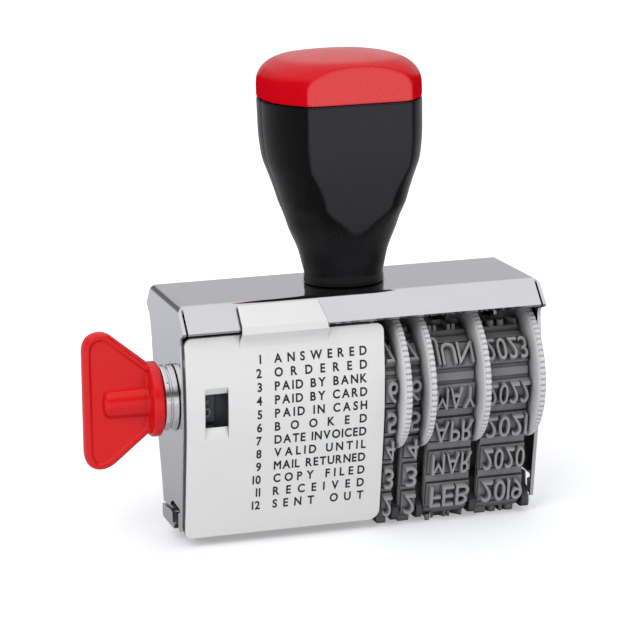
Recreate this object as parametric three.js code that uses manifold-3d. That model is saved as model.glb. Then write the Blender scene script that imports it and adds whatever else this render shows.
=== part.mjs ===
// Hand-held rotary date stamp with a phrase band, built as separate pieces.
// Frame: millimetres, +Z up. X runs along the stamp (setting knob at -X), -Y is
// the front with the index cover. Z = 0 is the printing plane; the origin lies
// on the printing face under the middle of the handle.
import * as THREE from "three";
import { mergeVertices } from "three/addons/utils/BufferGeometryUtils.js";
import Module from "manifold-3d";

const wasm = await Module();
wasm.setup();

// ---------------------------------------------------------------- dimensions
const HALF_LENGTH = 31; // chassis, outside of the end plates
const SHEET = 0.6; // folded steel sheet
const TOP_Z = 41.7; // outside of the top
const TOP_HALF = 10.15; // half depth of the flat top
const FLANGE = 3.9; // rise and run of the 45 degree flanges
const AXIS_Y = -4.6; // common axis of wheels and setting knob
const AXIS_Z = 25.5;
const WHEEL_R = 12.1; // thumb wheel, over the knurl
const WHEEL_T = 1.25; // width of the knurled rim
const AXLE_R = 1.5;
const BORE_R = 1.8; // running bore on the axle
const DATE_HUB_R = 5.8; // core that a date band runs on
const PHRASE_HUB_R = 3.5;
const PLATEN_R = 1.2; // edge radius of the platen
const PLATEN_Z = 4.2; // centres of the platen edge radii
const DATE_PLATEN = [-3.9, -0.3]; // y of the two edge centres, date bands
const PHRASE_PLATEN = [-2.0, 2.8];
const BAND_IN = 0.3; // clearance under a band
const BAND_BASE = 1.4; // outer face of the band web, from the core
const BAND_PAD = 2.3; // outer face of the type pads
const BAND_TYPE = 3.0; // printing face
const ROWS = 12; // positions on the phrase, month and year bands
const DAY_ROWS = 14; // positions on the two day bands
const PAD_LENGTH = 5.0; // type pad, along the band
const DAY_PAD_LENGTH = 4.4;
const GAP = 0.3; // clearance between neighbours
// x ranges of the bands; each date band has its wheel on its right
const BANDS = {
  day_tens: [3.25, 5.2],
  day_units: [6.9, 9.5],
  month: [11.1, 18.95],
  year: [20.65, 28.45],
};
const WHEEL_X = { day_tens: 5.4, day_units: 9.65, month: 19.1, year: 28.65 };
const PHRASE_X = [-28.2, 1.4];
const INDEX_X = [-28.2, -25.3]; // margin of the phrase band with row numbers
const PHRASE_PAD_X = [-22.4, 1.1];
const DIVIDER_X = [1.7, 2.3];
const KNOB_R = 6.25; // collar of the setting knob
const BUSH_R = 5.5;
const STEM_X = -34.9; // outer end of the knob stem, inside the collar
const HANDLE_SEAM_Z = 72.9;
const HANDLE_TOP_Z = 80.65;

// ------------------------------------------------------------------- helpers
const solid = (geometry) => {
  const g = geometry.clone();
  g.deleteAttribute("normal");
  g.deleteAttribute("uv");
  const m = mergeVertices(g, 1e-4);
  return new wasm.Manifold(
    new wasm.Mesh({
      numProp: 3,
      vertProperties: new Float32Array(m.attributes.position.array),
      triVerts: new Uint32Array(m.index.array),
    }),
  );
};
const union = (first, ...rest) => rest.reduce((a, b) => a.add(b), first);
const cut = (first, ...rest) => rest.reduce((a, b) => a.subtract(b), first);

// outline without repeated points or points inside a straight
const clean = (points) =>
  points.filter(([a, b], i) => {
    const [pa, pb] = points[(i + points.length - 1) % points.length];
    const [na, nb] = points[(i + 1) % points.length];
    if (Math.hypot(a - pa, b - pb) < 1e-3) return false;
    return (
      Math.abs((a - pa) * (nb - pb) - (b - pb) * (na - pa)) >
      1e-4 * Math.hypot(na - pa, nb - pb)
    );
  });
const shapeOf = (points) =>
  new THREE.Shape(clean(points).map(([a, b]) => new THREE.Vector2(a, b)));
const extrude = (shape, depth, curveSegments = 12) =>
  new THREE.ExtrudeGeometry(shape, {
    depth,
    bevelEnabled: false,
    steps: 1,
    curveSegments,
  });
// outline in (y, z), from x0 to x1
const alongX = (shape, x0, x1, seg) =>
  solid(
    extrude(shape, x1 - x0, seg).applyMatrix4(
      new THREE.Matrix4().set(0, 0, 1, x0, 1, 0, 0, 0, 0, 1, 0, 0, 0, 0, 0, 1),
    ),
  );
// outline in (x, z), from y0 to y1
const alongY = (shape, y0, y1, seg) =>
  solid(
    extrude(shape, y1 - y0, seg).applyMatrix4(
      new THREE.Matrix4().set(1, 0, 0, 0, 0, 0, -1, y1, 0, 1, 0, 0, 0, 0, 0, 1),
    ),
  );
// outline in (x, y), from z0 to z1
const alongZ = (shape, z0, z1, seg) =>
  solid(extrude(shape, z1 - z0, seg).translate(0, 0, z0));
const box = (x0, x1, y0, y1, z0, z1) =>
  solid(
    new THREE.BoxGeometry(x1 - x0, y1 - y0, z1 - z0).translate(
      (x0 + x1) / 2,
      (y0 + y1) / 2,
      (z0 + z1) / 2,
    ),
  );
// closed profile of [x, radius] pairs, turned about the line y, z along x
const turnedX = (profile, y, z, segments = 48) => {
  const pts = profile.map(([x, r]) => new THREE.Vector2(r, x));
  const first = pts[0],
    last = pts[pts.length - 1];
  if (first.x > 0 || last.x > 0) pts.push(first.clone());
  const g = new THREE.LatheGeometry(pts, segments);
  g.rotateZ(-Math.PI / 2).translate(0, y, z);
  const m = solid(g);
  return m.volume() < 0 ? solid(flipped(g)) : m;
};
// closed profile of [radius, z] pairs, turned about the line x, y along z
const turnedZ = (profile, x, y, segments = 40) => {
  const pts = profile.map(([r, z]) => new THREE.Vector2(r, z));
  if (pts[0].x > 0 || pts[pts.length - 1].x > 0) pts.push(pts[0].clone());
  const g = new THREE.LatheGeometry(pts, segments);
  g.rotateX(Math.PI / 2).translate(x, y, 0);
  const m = solid(g);
  return m.volume() < 0 ? solid(flipped(g)) : m;
};
function flipped(g) {
  const c = g.clone();
  const i = c.index.array;
  for (let k = 0; k < i.length; k += 3) [i[k + 1], i[k + 2]] = [i[k + 2], i[k + 1]];
  return c;
}
const mirrored = (points) => [
  ...points,
  ...points
    .slice()
    .reverse()
    .map(([a, b]) => [-a, b]),
];

// ------------------------------------------------- the closed run of a band
// A band runs round a hub and the two rounded edges of the platen. The run is
// an arc on each of the three circles and a straight between each pair. s is
// measured on the middle of the band web, from the middle of the printing face
// towards the front and up; d is the distance from the core.
function bandRun(hubR, platen) {
  const web = (BAND_IN + BAND_BASE) / 2;
  // clockwise seen from +X with y to the right: back edge, front edge, hub
  const c = [
    { y: platen[1], z: PLATEN_Z, r: PLATEN_R },
    { y: platen[0], z: PLATEN_Z, r: PLATEN_R },
    { y: AXIS_Y, z: AXIS_Z, r: hubR },
  ];
  const normal = c.map((a, i) => {
    const b = c[(i + 1) % 3];
    const dy = b.y - a.y,
      dz = b.z - a.z,
      D = Math.hypot(dy, dz);
    const s = (a.r - b.r) / D,
      k = Math.sqrt(1 - s * s);
    const u = [dy / D, dz / D],
      left = [-u[1], u[0]];
    return [k * left[0] + s * u[0], k * left[1] + s * u[1]];
  });
  const parts = [];
  for (let i = 0; i < 3; i++) {
    const a = c[i],
      b = c[(i + 1) % 3],
      n = normal[i];
    const p = [a.y + a.r * n[0], a.z + a.r * n[1]],
      q = [b.y + b.r * n[0], b.z + b.r * n[1]];
    parts.push({ p, q, n, len: Math.hypot(q[0] - p[0], q[1] - p[1]) });
    const n2 = normal[(i + 1) % 3];
    const a0 = Math.atan2(n[1], n[0]);
    let a1 = Math.atan2(n2[1], n2[0]);
    while (a1 > a0) a1 -= 2 * Math.PI;
    while (a1 < a0 - 2 * Math.PI) a1 += 2 * Math.PI;
    parts.push({ c: b, a0, a1, len: (a0 - a1) * (b.r + web) });
  }
  const length = parts.reduce((t, e) => t + e.len, 0);
  const start = parts[0].len / 2;
  const at = (s, d) => {
    let t = (((s + start) % length) + length) % length;
    for (const e of parts) {
      if (t <= e.len) {
        const f = t / e.len;
        if (e.c) {
          const a = e.a0 + (e.a1 - e.a0) * f;
          return [
            e.c.y + (e.c.r + d) * Math.cos(a),
            e.c.z + (e.c.r + d) * Math.sin(a),
          ];
        }
        return [
          e.p[0] + (e.q[0] - e.p[0]) * f + d * e.n[0],
          e.p[1] + (e.q[1] - e.p[1]) * f + d * e.n[1],
        ];
      }
      t -= e.len;
    }
    return at(0, d);
  };
  // corner points of the whole run at one distance
  const outline = (d, perRadian = 3.5) => {
    const pts = [];
    for (const e of parts) {
      if (!e.c) continue;
      const n = Math.max(4, Math.round((e.a0 - e.a1) * perRadian));
      for (let i = 0; i <= n; i++) {
        const a = e.a0 + ((e.a1 - e.a0) * i) / n;
        pts.push([
          e.c.y + (e.c.r + d) * Math.cos(a),
          e.c.z + (e.c.r + d) * Math.sin(a),
        ]);
      }
    }
    return pts;
  };
  return { length, at, outline };
}
const dateRun = bandRun(DATE_HUB_R, DATE_PLATEN);
const phraseRun = bandRun(PHRASE_HUB_R, PHRASE_PLATEN);

// a band: the web, and one pad per row up to the printing face
function band(run, web, pad, rows, padLength, extra = []) {
  const outer = shapeOf(run.outline(BAND_BASE));
  outer.holes.push(
    new THREE.Path(
      run
        .outline(BAND_IN)
        .reverse()
        .map(([a, b]) => new THREE.Vector2(a, b)),
    ),
  );
  let made = alongX(outer, ...web);
  const block = (s, x0, x1, half, top) => {
    const n = 4;
    const low = [],
      high = [];
    for (let i = 0; i <= n; i++) {
      const t = s - half + (2 * half * i) / n;
      low.push(run.at(t, BAND_BASE - 0.5));
      high.push(run.at(t, top));
    }
    made = made.add(alongX(shapeOf([...high, ...low.reverse()]), x0, x1));
  };
  for (let k = 0; k < rows; k++)
    block((k * run.length) / rows, pad[0], pad[1], padLength / 2, BAND_TYPE);
  extra.forEach((e) => block(...e));
  return made;
}

// ------------------------------------------------------------------- chassis
// One folded sheet: flat top, a 45 degree flange front and back, an end plate
// folded down at each end.
const flangeY = TOP_HALF + FLANGE,
  flangeZ = TOP_Z - FLANGE;
const k45 = SHEET * Math.tan(Math.PI / 8);
const topSection = shapeOf([
  [-flangeY, flangeZ],
  [-TOP_HALF - 0.55, TOP_Z - 0.55],
  [-TOP_HALF - 0.1, TOP_Z - 0.2],
  [-TOP_HALF + 0.55, TOP_Z],
  [TOP_HALF - 0.55, TOP_Z],
  [TOP_HALF + 0.1, TOP_Z - 0.2],
  [TOP_HALF + 0.55, TOP_Z - 0.55],
  [flangeY, flangeZ],
  [flangeY - SHEET * Math.SQRT1_2, flangeZ - SHEET * Math.SQRT1_2],
  [TOP_HALF - k45, TOP_Z - SHEET],
  [-TOP_HALF + k45, TOP_Z - SHEET],
  [-flangeY + SHEET * Math.SQRT1_2, flangeZ - SHEET * Math.SQRT1_2],
]);
// the front edge follows the index cover, the back edge tapers a little more
const plateOutline = [
  [6.2, 2.8],
  [7.4, 9.7],
  [8.6, 14.5],
  [9.2, 18],
  [10.4, 25],
  [11.05, 31.5],
  [11.25, 33.6],
  [11.6, 35],
  [12.2, 36.2],
  [13.25, 37.1],
  [14.0, 37.8],
  [TOP_HALF, TOP_Z],
  [-TOP_HALF, TOP_Z],
  [-14.0, 37.8],
  [-13.25, 37.15],
  [-12.3, 36.9],
  [-11.5, 36.65],
  [-11.15, 35.8],
  [-11.2, 33.6],
  [-11.25, 30],
  [-11.15, 27.5],
  [-10.65, 22],
  [-9.55, 16.8],
  [-7.75, 9.5],
  [-6.2, 2.8],
];
// open notch at the lower back corner for the platen's end tab, with a wider
// opening above the tab
const notchOutline = [
  [9, -1],
  [9, 4.6],
  [6.3, 4.85],
  [1.1, 5.45],
  [1.0, 6.1],
  [-1.15, 6.9],
  [-6.3, 6.7],
  [-6.3, 6.2],
  [-4.8, 5.5],
  [-4.6, 2.2],
  [-4.6, -1],
];
const plate = (x0) =>
  cut(
    alongX(shapeOf(plateOutline), x0, x0 + SHEET),
    alongX(shapeOf(notchOutline), x0 - 1, x0 + 2),
  );
const r = 1.3,
  H = HALF_LENGTH;
const arc = (cx, cz, r0, a0, a1, n = 5) =>
  Array.from({ length: n + 1 }, (_, i) => {
    const a = a0 + ((a1 - a0) * i) / n;
    return [cx + r0 * Math.cos(a), cz + r0 * Math.sin(a)];
  });
const envelope = alongY(
  shapeOf([
    [-H, 0],
    [H, 0],
    ...arc(H - r, TOP_Z - r, r, 0, Math.PI / 2),
    ...arc(-H + r, TOP_Z - r, r, Math.PI / 2, Math.PI),
  ]),
  -20,
  20,
);
// back lip: the back flange folds on down, just inside the end plates
const backLip = alongX(
  shapeOf([
    [13.7, 37.45],
    [13.1, 36.85],
    [12.0, 36.0],
    [11.35, 35],
    [11.0, 33.6],
    [10.8, 31.5],
    [10.35, 28.2],
    [9.78, 28.2],
    [10.22, 31.5],
    [10.42, 33.7],
    [10.8, 35.25],
    [11.6, 36.45],
    [12.85, 37.45],
    [13.2, 37.9],
  ]),
  -H + SHEET + 0.3,
  H - SHEET - 0.3,
);
let chassis = union(alongX(topSection, -H, H), backLip, plate(-H), plate(H - SHEET));
chassis = chassis.intersect(envelope);
for (const side of [-1, 1])
  for (const end of [-1, 1]) {
    // slit between a flange and the end plate
    const xa = end * (H - SHEET - 0.3),
      xb = end * (H - SHEET);
    chassis = chassis.subtract(
      box(
        Math.min(xa, xb),
        Math.max(xa, xb),
        side < 0 ? -16 : TOP_HALF + 0.35,
        side < 0 ? -TOP_HALF - 0.35 : 16,
        36,
        TOP_Z - 0.35,
      ),
    );
  }
chassis = cut(
  chassis,
  turnedX([[-H - 1, 0], [-H - 1, 3.95], [-H + 2, 3.95], [-H + 2, 0]], AXIS_Y, AXIS_Z, 40),
  turnedX([[H - 2, 0], [H - 2, 1.75], [H + 1, 1.75], [H + 1, 0]], AXIS_Y, AXIS_Z, 32),
  turnedZ([[0, TOP_Z - 3], [2.3, TOP_Z - 3], [2.3, TOP_Z + 1], [0, TOP_Z + 1]], 0, 0, 32),
);

// thin steel wall between the phrase band and the date bands
const divider = cut(
  alongX(
    shapeOf([
      [-5.6, 8.2],
      [5.6, 8.2],
      [8.9, 30],
      [9.4, 40.5],
      [5.6, 40.5],
      [5.6, 36.6],
      [-5.6, 36.6],
      [-5.6, 40.5],
      [-9.4, 40.5],
      [-9.0, 24],
      [-7.6, 16],
    ]),
    ...DIVIDER_X,
  ),
  turnedX([[0, 0], [0, BORE_R], [4, BORE_R], [4, 0]], AXIS_Y, AXIS_Z, 32),
);

// -------------------------------------------------------------------- platen
// Bar with two rounded edges that the bands run round, fins that keep the
// bands apart, and a tab through each end plate.
const fin = (x0, x1) =>
  alongX(
    shapeOf([
      ...arc(-5.5, 2.1, 1.2, Math.PI, 1.5 * Math.PI, 5),
      ...arc(1.8, 2.1, 1.2, 1.5 * Math.PI, 2 * Math.PI, 5),
      [3.0, 4.6],
      [1.4, 5.2],
      [-4.6, 5.2],
      [-6.7, 3.2],
    ]),
    x0,
    x1,
  );
const platenSection = (platen) =>
  shapeOf([
    ...arc(platen[0], PLATEN_Z, PLATEN_R, Math.PI, 1.5 * Math.PI, 5),
    ...arc(platen[1], PLATEN_Z, PLATEN_R, 1.5 * Math.PI, 2 * Math.PI, 5),
    [platen[1] + PLATEN_R - 0.9, 6.9],
    [platen[0] - PLATEN_R, 6.9],
  ]);
const inside = H - SHEET - GAP;
const TAB_PROUD = 0.3; // of the end plate
const tab = (x0, x1) =>
  alongX(
    shapeOf([
      [6.3, 4.5],
      [-0.15, 5.1],
      [-1.45, 4.95],
      [-1.6, 3.2],
      [-2.65, 2.5],
      [-2.2, 2.3],
      [5.9, 2.25],
      [6.3, 2.7],
    ]),
    x0,
    x1,
  );
const platen = union(
  alongX(platenSection(PHRASE_PLATEN), -inside, 2.0),
  alongX(platenSection(DATE_PLATEN), 1.9, inside),
  fin(5.45, 6.6),
  fin(9.8, 10.8),
  fin(19.25, 20.35),
  fin(28.75, inside),
  tab(-H - TAB_PROUD, -inside + 1),
  tab(inside - 1, H + TAB_PROUD),
);

// --------------------------------------------------------------------- cover
// White index plate hooked over the front flange.
const COVER_X = [-30.5, 3.08],
  COVER_T = 0.8;
const coverFront = [
  [-12.5, 36.7],
  [-12.65, 32],
  [-12.6, 27.5],
  [-12.0, 22],
  [-10.9, 16.8],
  [-9.1, 9.5],
  [-7.1, 1.7],
];
const coverBack = coverFront
  .map(([y, z]) => [y + COVER_T, z])
  .reverse();
const coverOutline = (() => {
  const [x0, x1] = COVER_X,
    q = 1.4;
  return shapeOf([
    ...arc(x0 + q, 1.7 + q, q, Math.PI, 1.5 * Math.PI, 4),
    ...arc(x1 - 2, 1.7 + 2, 2, 1.5 * Math.PI, 2 * Math.PI, 4),
    ...arc(x1 - q, 36.7 - q, q, 0, Math.PI / 2, 4),
    ...arc(x0 + q, 36.7 - q, q, Math.PI / 2, Math.PI, 4),
  ]);
})();
const e45 = Math.SQRT1_2;
const off = (y, z, d) => [y - d * e45, z + d * e45];
const hookSection = shapeOf([
  [-12.5, 35.9],
  [-12.6, 35.9],
  [-13.6, 36.2],
  [-14.9, 37.0],
  off(-flangeY, flangeZ, 0.8),
  off(-TOP_HALF - 0.85, TOP_Z - 0.85, 0.7),
  off(-TOP_HALF - 0.85, TOP_Z - 0.85, 0.15),
  off(-flangeY, flangeZ, 0.15),
  [-14.25, 37.55],
  [-13.35, 36.85],
  [-12.5, 36.6],
  [-11.9, 36.4],
  [-11.9, 35.9],
]);
const hookPlan = alongY(
  shapeOf([
    [-21.4, 34],
    [-6.4, 34],
    [-6.8, 37.4],
    [-8.2, 43],
    [-21.2, 43],
  ]),
  -20,
  -8,
);
const WINDOW = { x0: -27.4, x1: -24.0, z0: 21.8, z1: 26.9 };
let cover = alongX(shapeOf([...coverFront, ...coverBack]), ...COVER_X)
  .intersect(alongY(coverOutline, -20, 0))
  .add(alongX(hookSection, -21.4, -6.4).intersect(hookPlan));
cover = cut(
  cover,
  box(WINDOW.x0, WINDOW.x1, -16, -5, WINDOW.z0, WINDOW.z1),
  // sloped sill and sloped head of the window
  alongX(
    shapeOf([
      [-15, 18.2],
      [-11.7, 18.6],
      [-11.0, WINDOW.z0],
      [-11.0, WINDOW.z1 - 1],
      [-11.7, WINDOW.z1],
      [-12.9, 28.3],
      [-15, 28.4],
    ]),
    WINDOW.x0,
    WINDOW.x1 + 0.4,
  ),
);

// -------------------------------------------------------------------- handle
// Round neck that grows into a wider head, deeper than it is wide, with one
// flat facet in front and one at the back.
const handleSide = (points) => shapeOf(mirrored(points));
const HEAD_PLAN = [
  [13.2, 0],
  [13.15, 3],
  [12.6, 6],
  [11.5, 9],
  [8.8, 12.9],
  [7.1, 13.8],
  [4.4, 14.8],
  [0, 15.3],
];
const HEAD_REACH = 13.65; // half width the plan is scaled by
// half width at each height
const headHalf = [
  [TOP_Z + 0.05, 6.75],
  [42.9, 6.7],
  [43.3, 6.6],
  [44.9, 6.96],
  [47.6, 7.63],
  [51.0, 9.02],
  [53.2, 9.75],
  [55.6, 10.67],
  [57.4, 11.2],
  [59.9, 12.02],
  [62.5, 12.95],
  [64.5, 13.3],
  [67.1, 13.54],
  [70.8, 13.62],
  [HANDLE_SEAM_Z, HEAD_REACH],
];
// half depth at the facets
const sideHalf = [
  [16, TOP_Z - 1],
  [16, 49],
  [9.35, 51.6],
  [10.3, 54],
  [11.4, 58],
  [12.3, 63],
  [12.75, 68],
  [12.9, HANDLE_SEAM_Z + 1],
];
const planAngles = [];
for (let a = 0; a < 90; a += 9) planAngles.push((a * Math.PI) / 180);
const planRadius = (angle) => {
  const c = Math.cos(angle),
    n = Math.sin(angle);
  for (let i = 0; i + 1 < HEAD_PLAN.length; i++) {
    const [ax, ay] = HEAD_PLAN[i],
      [bx, by] = HEAD_PLAN[i + 1];
    const dx = bx - ax,
      dy = by - ay;
    const den = c * dy - n * dx;
    const t = (n * ax - c * ay) / den;
    if (t >= -1e-9 && t <= 1 + 1e-9) return (ax * dy - ay * dx) / den;
  }
  return HEAD_PLAN[HEAD_PLAN.length - 1][1];
};
// rings of [x, y] joined by quads, closed with a fan at each end
function loft(rings) {
  const n = rings[0].points.length,
    v = [],
    f = [];
  rings.forEach(({ z, points }) => points.forEach(([a, b]) => v.push(a, b, z)));
  for (let k = 0; k + 1 < rings.length; k++)
    for (let i = 0; i < n; i++) {
      const j = (i + 1) % n,
        a = k * n,
        b = a + n;
      f.push(a + i, a + j, b + j, a + i, b + j, b + i);
    }
  const low = v.length / 3;
  v.push(0, 0, rings[0].z);
  v.push(0, 0, rings[rings.length - 1].z);
  const top = (rings.length - 1) * n;
  for (let i = 0; i < n; i++) {
    const j = (i + 1) % n;
    f.push(low, j, i, low + 1, top + i, top + j);
  }
  const g = new THREE.BufferGeometry()
    .setAttribute("position", new THREE.BufferAttribute(new Float32Array(v), 3))
    .setIndex(f);
  return solid(g);
}
const headRing = (z, half, square) => ({
  z,
  points: [0, 1, 2, 3].flatMap((q) =>
    planAngles.map((a) => {
      const angle = (q * Math.PI) / 2 + a;
      const folded = q % 2 ? Math.PI / 2 - a : a;
      const radius = half * (1 + square * (planRadius(folded) / HEAD_REACH - 1));
      return [radius * Math.cos(angle), radius * Math.sin(angle)];
    }),
  ),
});
const smooth = (t) => {
  const c = Math.min(1, Math.max(0, t));
  return c * c * (3 - 2 * c);
};
const handleBody = cut(
  loft(headHalf.map(([z, half]) => headRing(z, half, smooth((z - 50) / 6)))).intersect(
    alongY(handleSide(sideHalf), -30, 30).rotate([0, 0, 90]),
  ),
  // pocket that takes the cap's plug
  box(-9.4, 9.4, -8.9, 8.9, 64, HANDLE_SEAM_Z + 1),
  // pilot hole for the fixing screw
  turnedZ([[0, 40], [1.75, 40], [1.75, 56.5], [0, 57.5]], 0, 0, 24),
);
// the cap goes on in the same plan and rounds over to a low dome
const capHalf = [
  [HANDLE_SEAM_Z + 0.15, 1],
  [75.8, 0.995],
  [77.15, 0.965],
  [78.05, 0.92],
  [78.85, 0.85],
  [79.55, 0.76],
  [80.05, 0.6],
  [80.4, 0.4],
  [HANDLE_TOP_Z, 0.12],
];
const capSide = [
  [12.9, HANDLE_SEAM_Z],
  [12.88, 78.4],
  [12.3, 79.1],
  [10.6, 79.75],
  [6.3, 80.4],
  [2.0, HANDLE_TOP_Z + 0.05],
];
const handleCap = loft(
  capHalf.map(([z, share]) => headRing(z, HEAD_REACH * share, 1)),
)
  .intersect(alongY(handleSide(capSide), -30, 30).rotate([0, 0, 90]))
  .add(
    cut(
      box(-9.0, 9.0, -8.5, 8.5, HANDLE_SEAM_Z - 4.5, HANDLE_SEAM_Z + 1),
      box(-7.4, 7.4, -6.9, 6.9, HANDLE_SEAM_Z - 6, HANDLE_SEAM_Z - 0.5),
    ),
  );
const UNDER = TOP_Z - SHEET;
const handleWasher = turnedZ(
  [
    [2.0, UNDER - 0.05],
    [4.4, UNDER - 0.05],
    [4.4, UNDER - 0.75],
    [2.0, UNDER - 0.75],
  ],
  0,
  0,
  32,
);
const handleScrew = cut(
  turnedZ(
    [
      [0, UNDER - 2.9],
      [2.6, UNDER - 2.9],
      [3.4, UNDER - 2.3],
      [3.5, UNDER - 0.85],
      [1.6, UNDER - 0.85],
      [1.6, 55.0],
      [0.9, 55.8],
      [0, 55.8],
    ],
    0,
    0,
    32,
  ),
  box(-0.4, 0.4, -2.2, 2.2, UNDER - 4, UNDER - 1.7),
  box(-2.2, 2.2, -0.4, 0.4, UNDER - 4, UNDER - 1.7),
);

// -------------------------------------------------------------- axle and knob
const AX = (profile, segments) => turnedX(profile, AXIS_Y, AXIS_Z, segments);
const ring = (x0, x1, inner, outer, segments = 40) =>
  AX([[x0, inner], [x0, outer], [x1, outer], [x1, inner]], segments);
const rod = (x0, x1, radius, segments = 40) =>
  AX([[x0, 0], [x0, radius], [x1, radius], [x1, 0]], segments);
const axle = AX(
  [
    [-37.5, 0],
    [-37.5, 1.1],
    [-37.1, AXLE_R],
    [H + 0.65, AXLE_R],
    [H + 0.65, 2.4],
    [H + 0.95, 2.3],
    [H + 1.3, 1.6],
    [H + 1.4, 0],
  ],
  32,
);
const axleWasher = ring(H + 0.05, H + 0.6, BORE_R, 3.4, 32);
// plated bush: two rings with a groove between, and a spigot through the plate
const bush = AX(
  [
    [-33.4, 3.5],
    [-33.4, BUSH_R - 0.4],
    [-33.15, BUSH_R],
    [-32.45, BUSH_R],
    [-32.3, BUSH_R - 0.5],
    [-32.15, BUSH_R - 0.5],
    [-32.0, BUSH_R],
    [-31.05, BUSH_R],
    [-31.05, 3.8],
    [-28.9, 3.8],
    [-28.9, 3.5],
  ],
  36,
);
const hexagon = (radius) =>
  Array.from({ length: 6 }, (_, i) => {
    const a = (i * Math.PI) / 3;
    return [AXIS_Y + radius * Math.cos(a), AXIS_Z + radius * Math.sin(a)];
  });
const bushNut = cut(alongX(shapeOf(hexagon(5.4)), -30.35, -29.3), rod(-31, -28, 3.95, 40));
// stem: tube from the knob through the bush into the phrase drum
const knobStem = AX(
  [
    [STEM_X, BORE_R],
    [STEM_X, 3.1],
    [-28.3, 3.1],
    [-28.3, 2.7],
    [-26.0, 2.7],
    [-26.0, BORE_R],
  ],
  36,
);
// knob: collar, flat wing with a rounded border, half-round rib on each face
const wing = (() => {
  const s = new THREE.Shape();
  s.moveTo(-34.6, 20.6);
  s.lineTo(-41.3, 15.2);
  s.quadraticCurveTo(-42.4, 14.45, -43.6, 14.4);
  s.quadraticCurveTo(-46.2, 14.5, -46.35, 17.6);
  s.lineTo(-46.05, 34.4);
  s.quadraticCurveTo(-45.8, 37.4, -42.9, 37.5);
  s.quadraticCurveTo(-41.7, 37.45, -40.7, 36.5);
  s.lineTo(-34.6, 31.2);
  return s;
})();
const wingInner = (() => {
  const s = new THREE.Shape();
  s.moveTo(-34.6, 22.2);
  s.lineTo(-41.0, 16.8);
  s.quadraticCurveTo(-42.4, 15.8, -43.6, 15.9);
  s.quadraticCurveTo(-44.9, 16.1, -45.0, 17.7);
  s.lineTo(-44.7, 34.2);
  s.quadraticCurveTo(-44.5, 35.9, -42.9, 36.0);
  s.quadraticCurveTo(-41.8, 36.0, -40.7, 35.0);
  s.lineTo(-34.6, 29.7);
  return s;
})();
const WING_T = 1.5;
const RIB_R = 2.7;
let knob = union(
  AX([[-35.4, 0], [-35.4, KNOB_R - 0.4], [-35.15, KNOB_R], [-33.75, KNOB_R], [-33.6, KNOB_R - 0.25], [-33.6, 0]], 48),
  alongY(wing, AXIS_Y - WING_T, AXIS_Y + WING_T, 6),
  AX([[-43.0, 0], [-42.85, 2.4], [-42.4, RIB_R], [-34.5, RIB_R], [-34.5, 0]], 32),
);
knob = cut(
  knob,
  cut(
    union(
      alongY(wingInner, AXIS_Y - WING_T - 1, AXIS_Y - WING_T + 0.5, 6),
      alongY(wingInner, AXIS_Y + WING_T - 0.5, AXIS_Y + WING_T + 1, 6),
    ),
    AX([[-43.0, 0], [-42.85, 2.4], [-42.4, RIB_R], [-33, RIB_R], [-33, 0]], 32),
    box(-35.5, -33, -15, 5, 15, 35),
  ),
  AX([[STEM_X - 0.1, 0], [STEM_X - 0.1, 3.2], [-33, 3.2], [-33, 0]], 36),
  AX([[-37.8, 0], [-37.8, BORE_R], [-34.5, BORE_R], [-34.5, 0]], 24),
);
const stemClip = cut(ring(-28.8, -28.4, 3.2, 4.5, 32), box(-30, -27, AXIS_Y, AXIS_Y + 8, AXIS_Z - 1.6, AXIS_Z + 1.6));

// phrase drum: ribbed roller that drives the phrase band, turned by the knob
let phraseDrum = AX(
  [
    [-28.2, 2.85],
    [-28.2, PHRASE_HUB_R],
    [1.2, PHRASE_HUB_R],
    [1.2, BORE_R],
    [-25.8, BORE_R],
    [-25.8, 2.85],
  ],
  36,
);
for (let i = 0; i < 6; i++) {
  const a = (i * Math.PI) / 3;
  phraseDrum = phraseDrum.subtract(
    turnedX(
      [[-24.5, 0], [-24.5, 0.55], [0, 0.55], [0, 0]],
      AXIS_Y + PHRASE_HUB_R * Math.cos(a),
      AXIS_Z + PHRASE_HUB_R * Math.sin(a),
      10,
    ),
  );
}

// -------------------------------------------------------------- thumb wheels
// Disc with a finely toothed rim (drawn plain here) and a hub on its left that
// carries the band.
const RIM_SIDES = 48;
function thumbWheel(xLeft, bandRange) {
  const disc = AX(
    [
      [xLeft, 0],
      [xLeft, WHEEL_R - 0.15],
      [xLeft + 0.15, WHEEL_R],
      [xLeft + WHEEL_T - 0.15, WHEEL_R],
      [xLeft + WHEEL_T, WHEEL_R - 0.15],
      [xLeft + WHEEL_T, 0],
    ],
    RIM_SIDES,
  );
  const hub = AX(
    [
      [bandRange[0] - 0.05, 0],
      [bandRange[0] - 0.05, DATE_HUB_R],
      [xLeft + 0.2, DATE_HUB_R],
      [xLeft + 0.2, 0],
    ],
    32,
  );
  const dish = ring(xLeft + WHEEL_T - 0.35, xLeft + WHEEL_T + 1, 4.4, 10.6, 36);
  return cut(disc.add(hub), dish, rod(-1, 40, BORE_R, 28));
}

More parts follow.
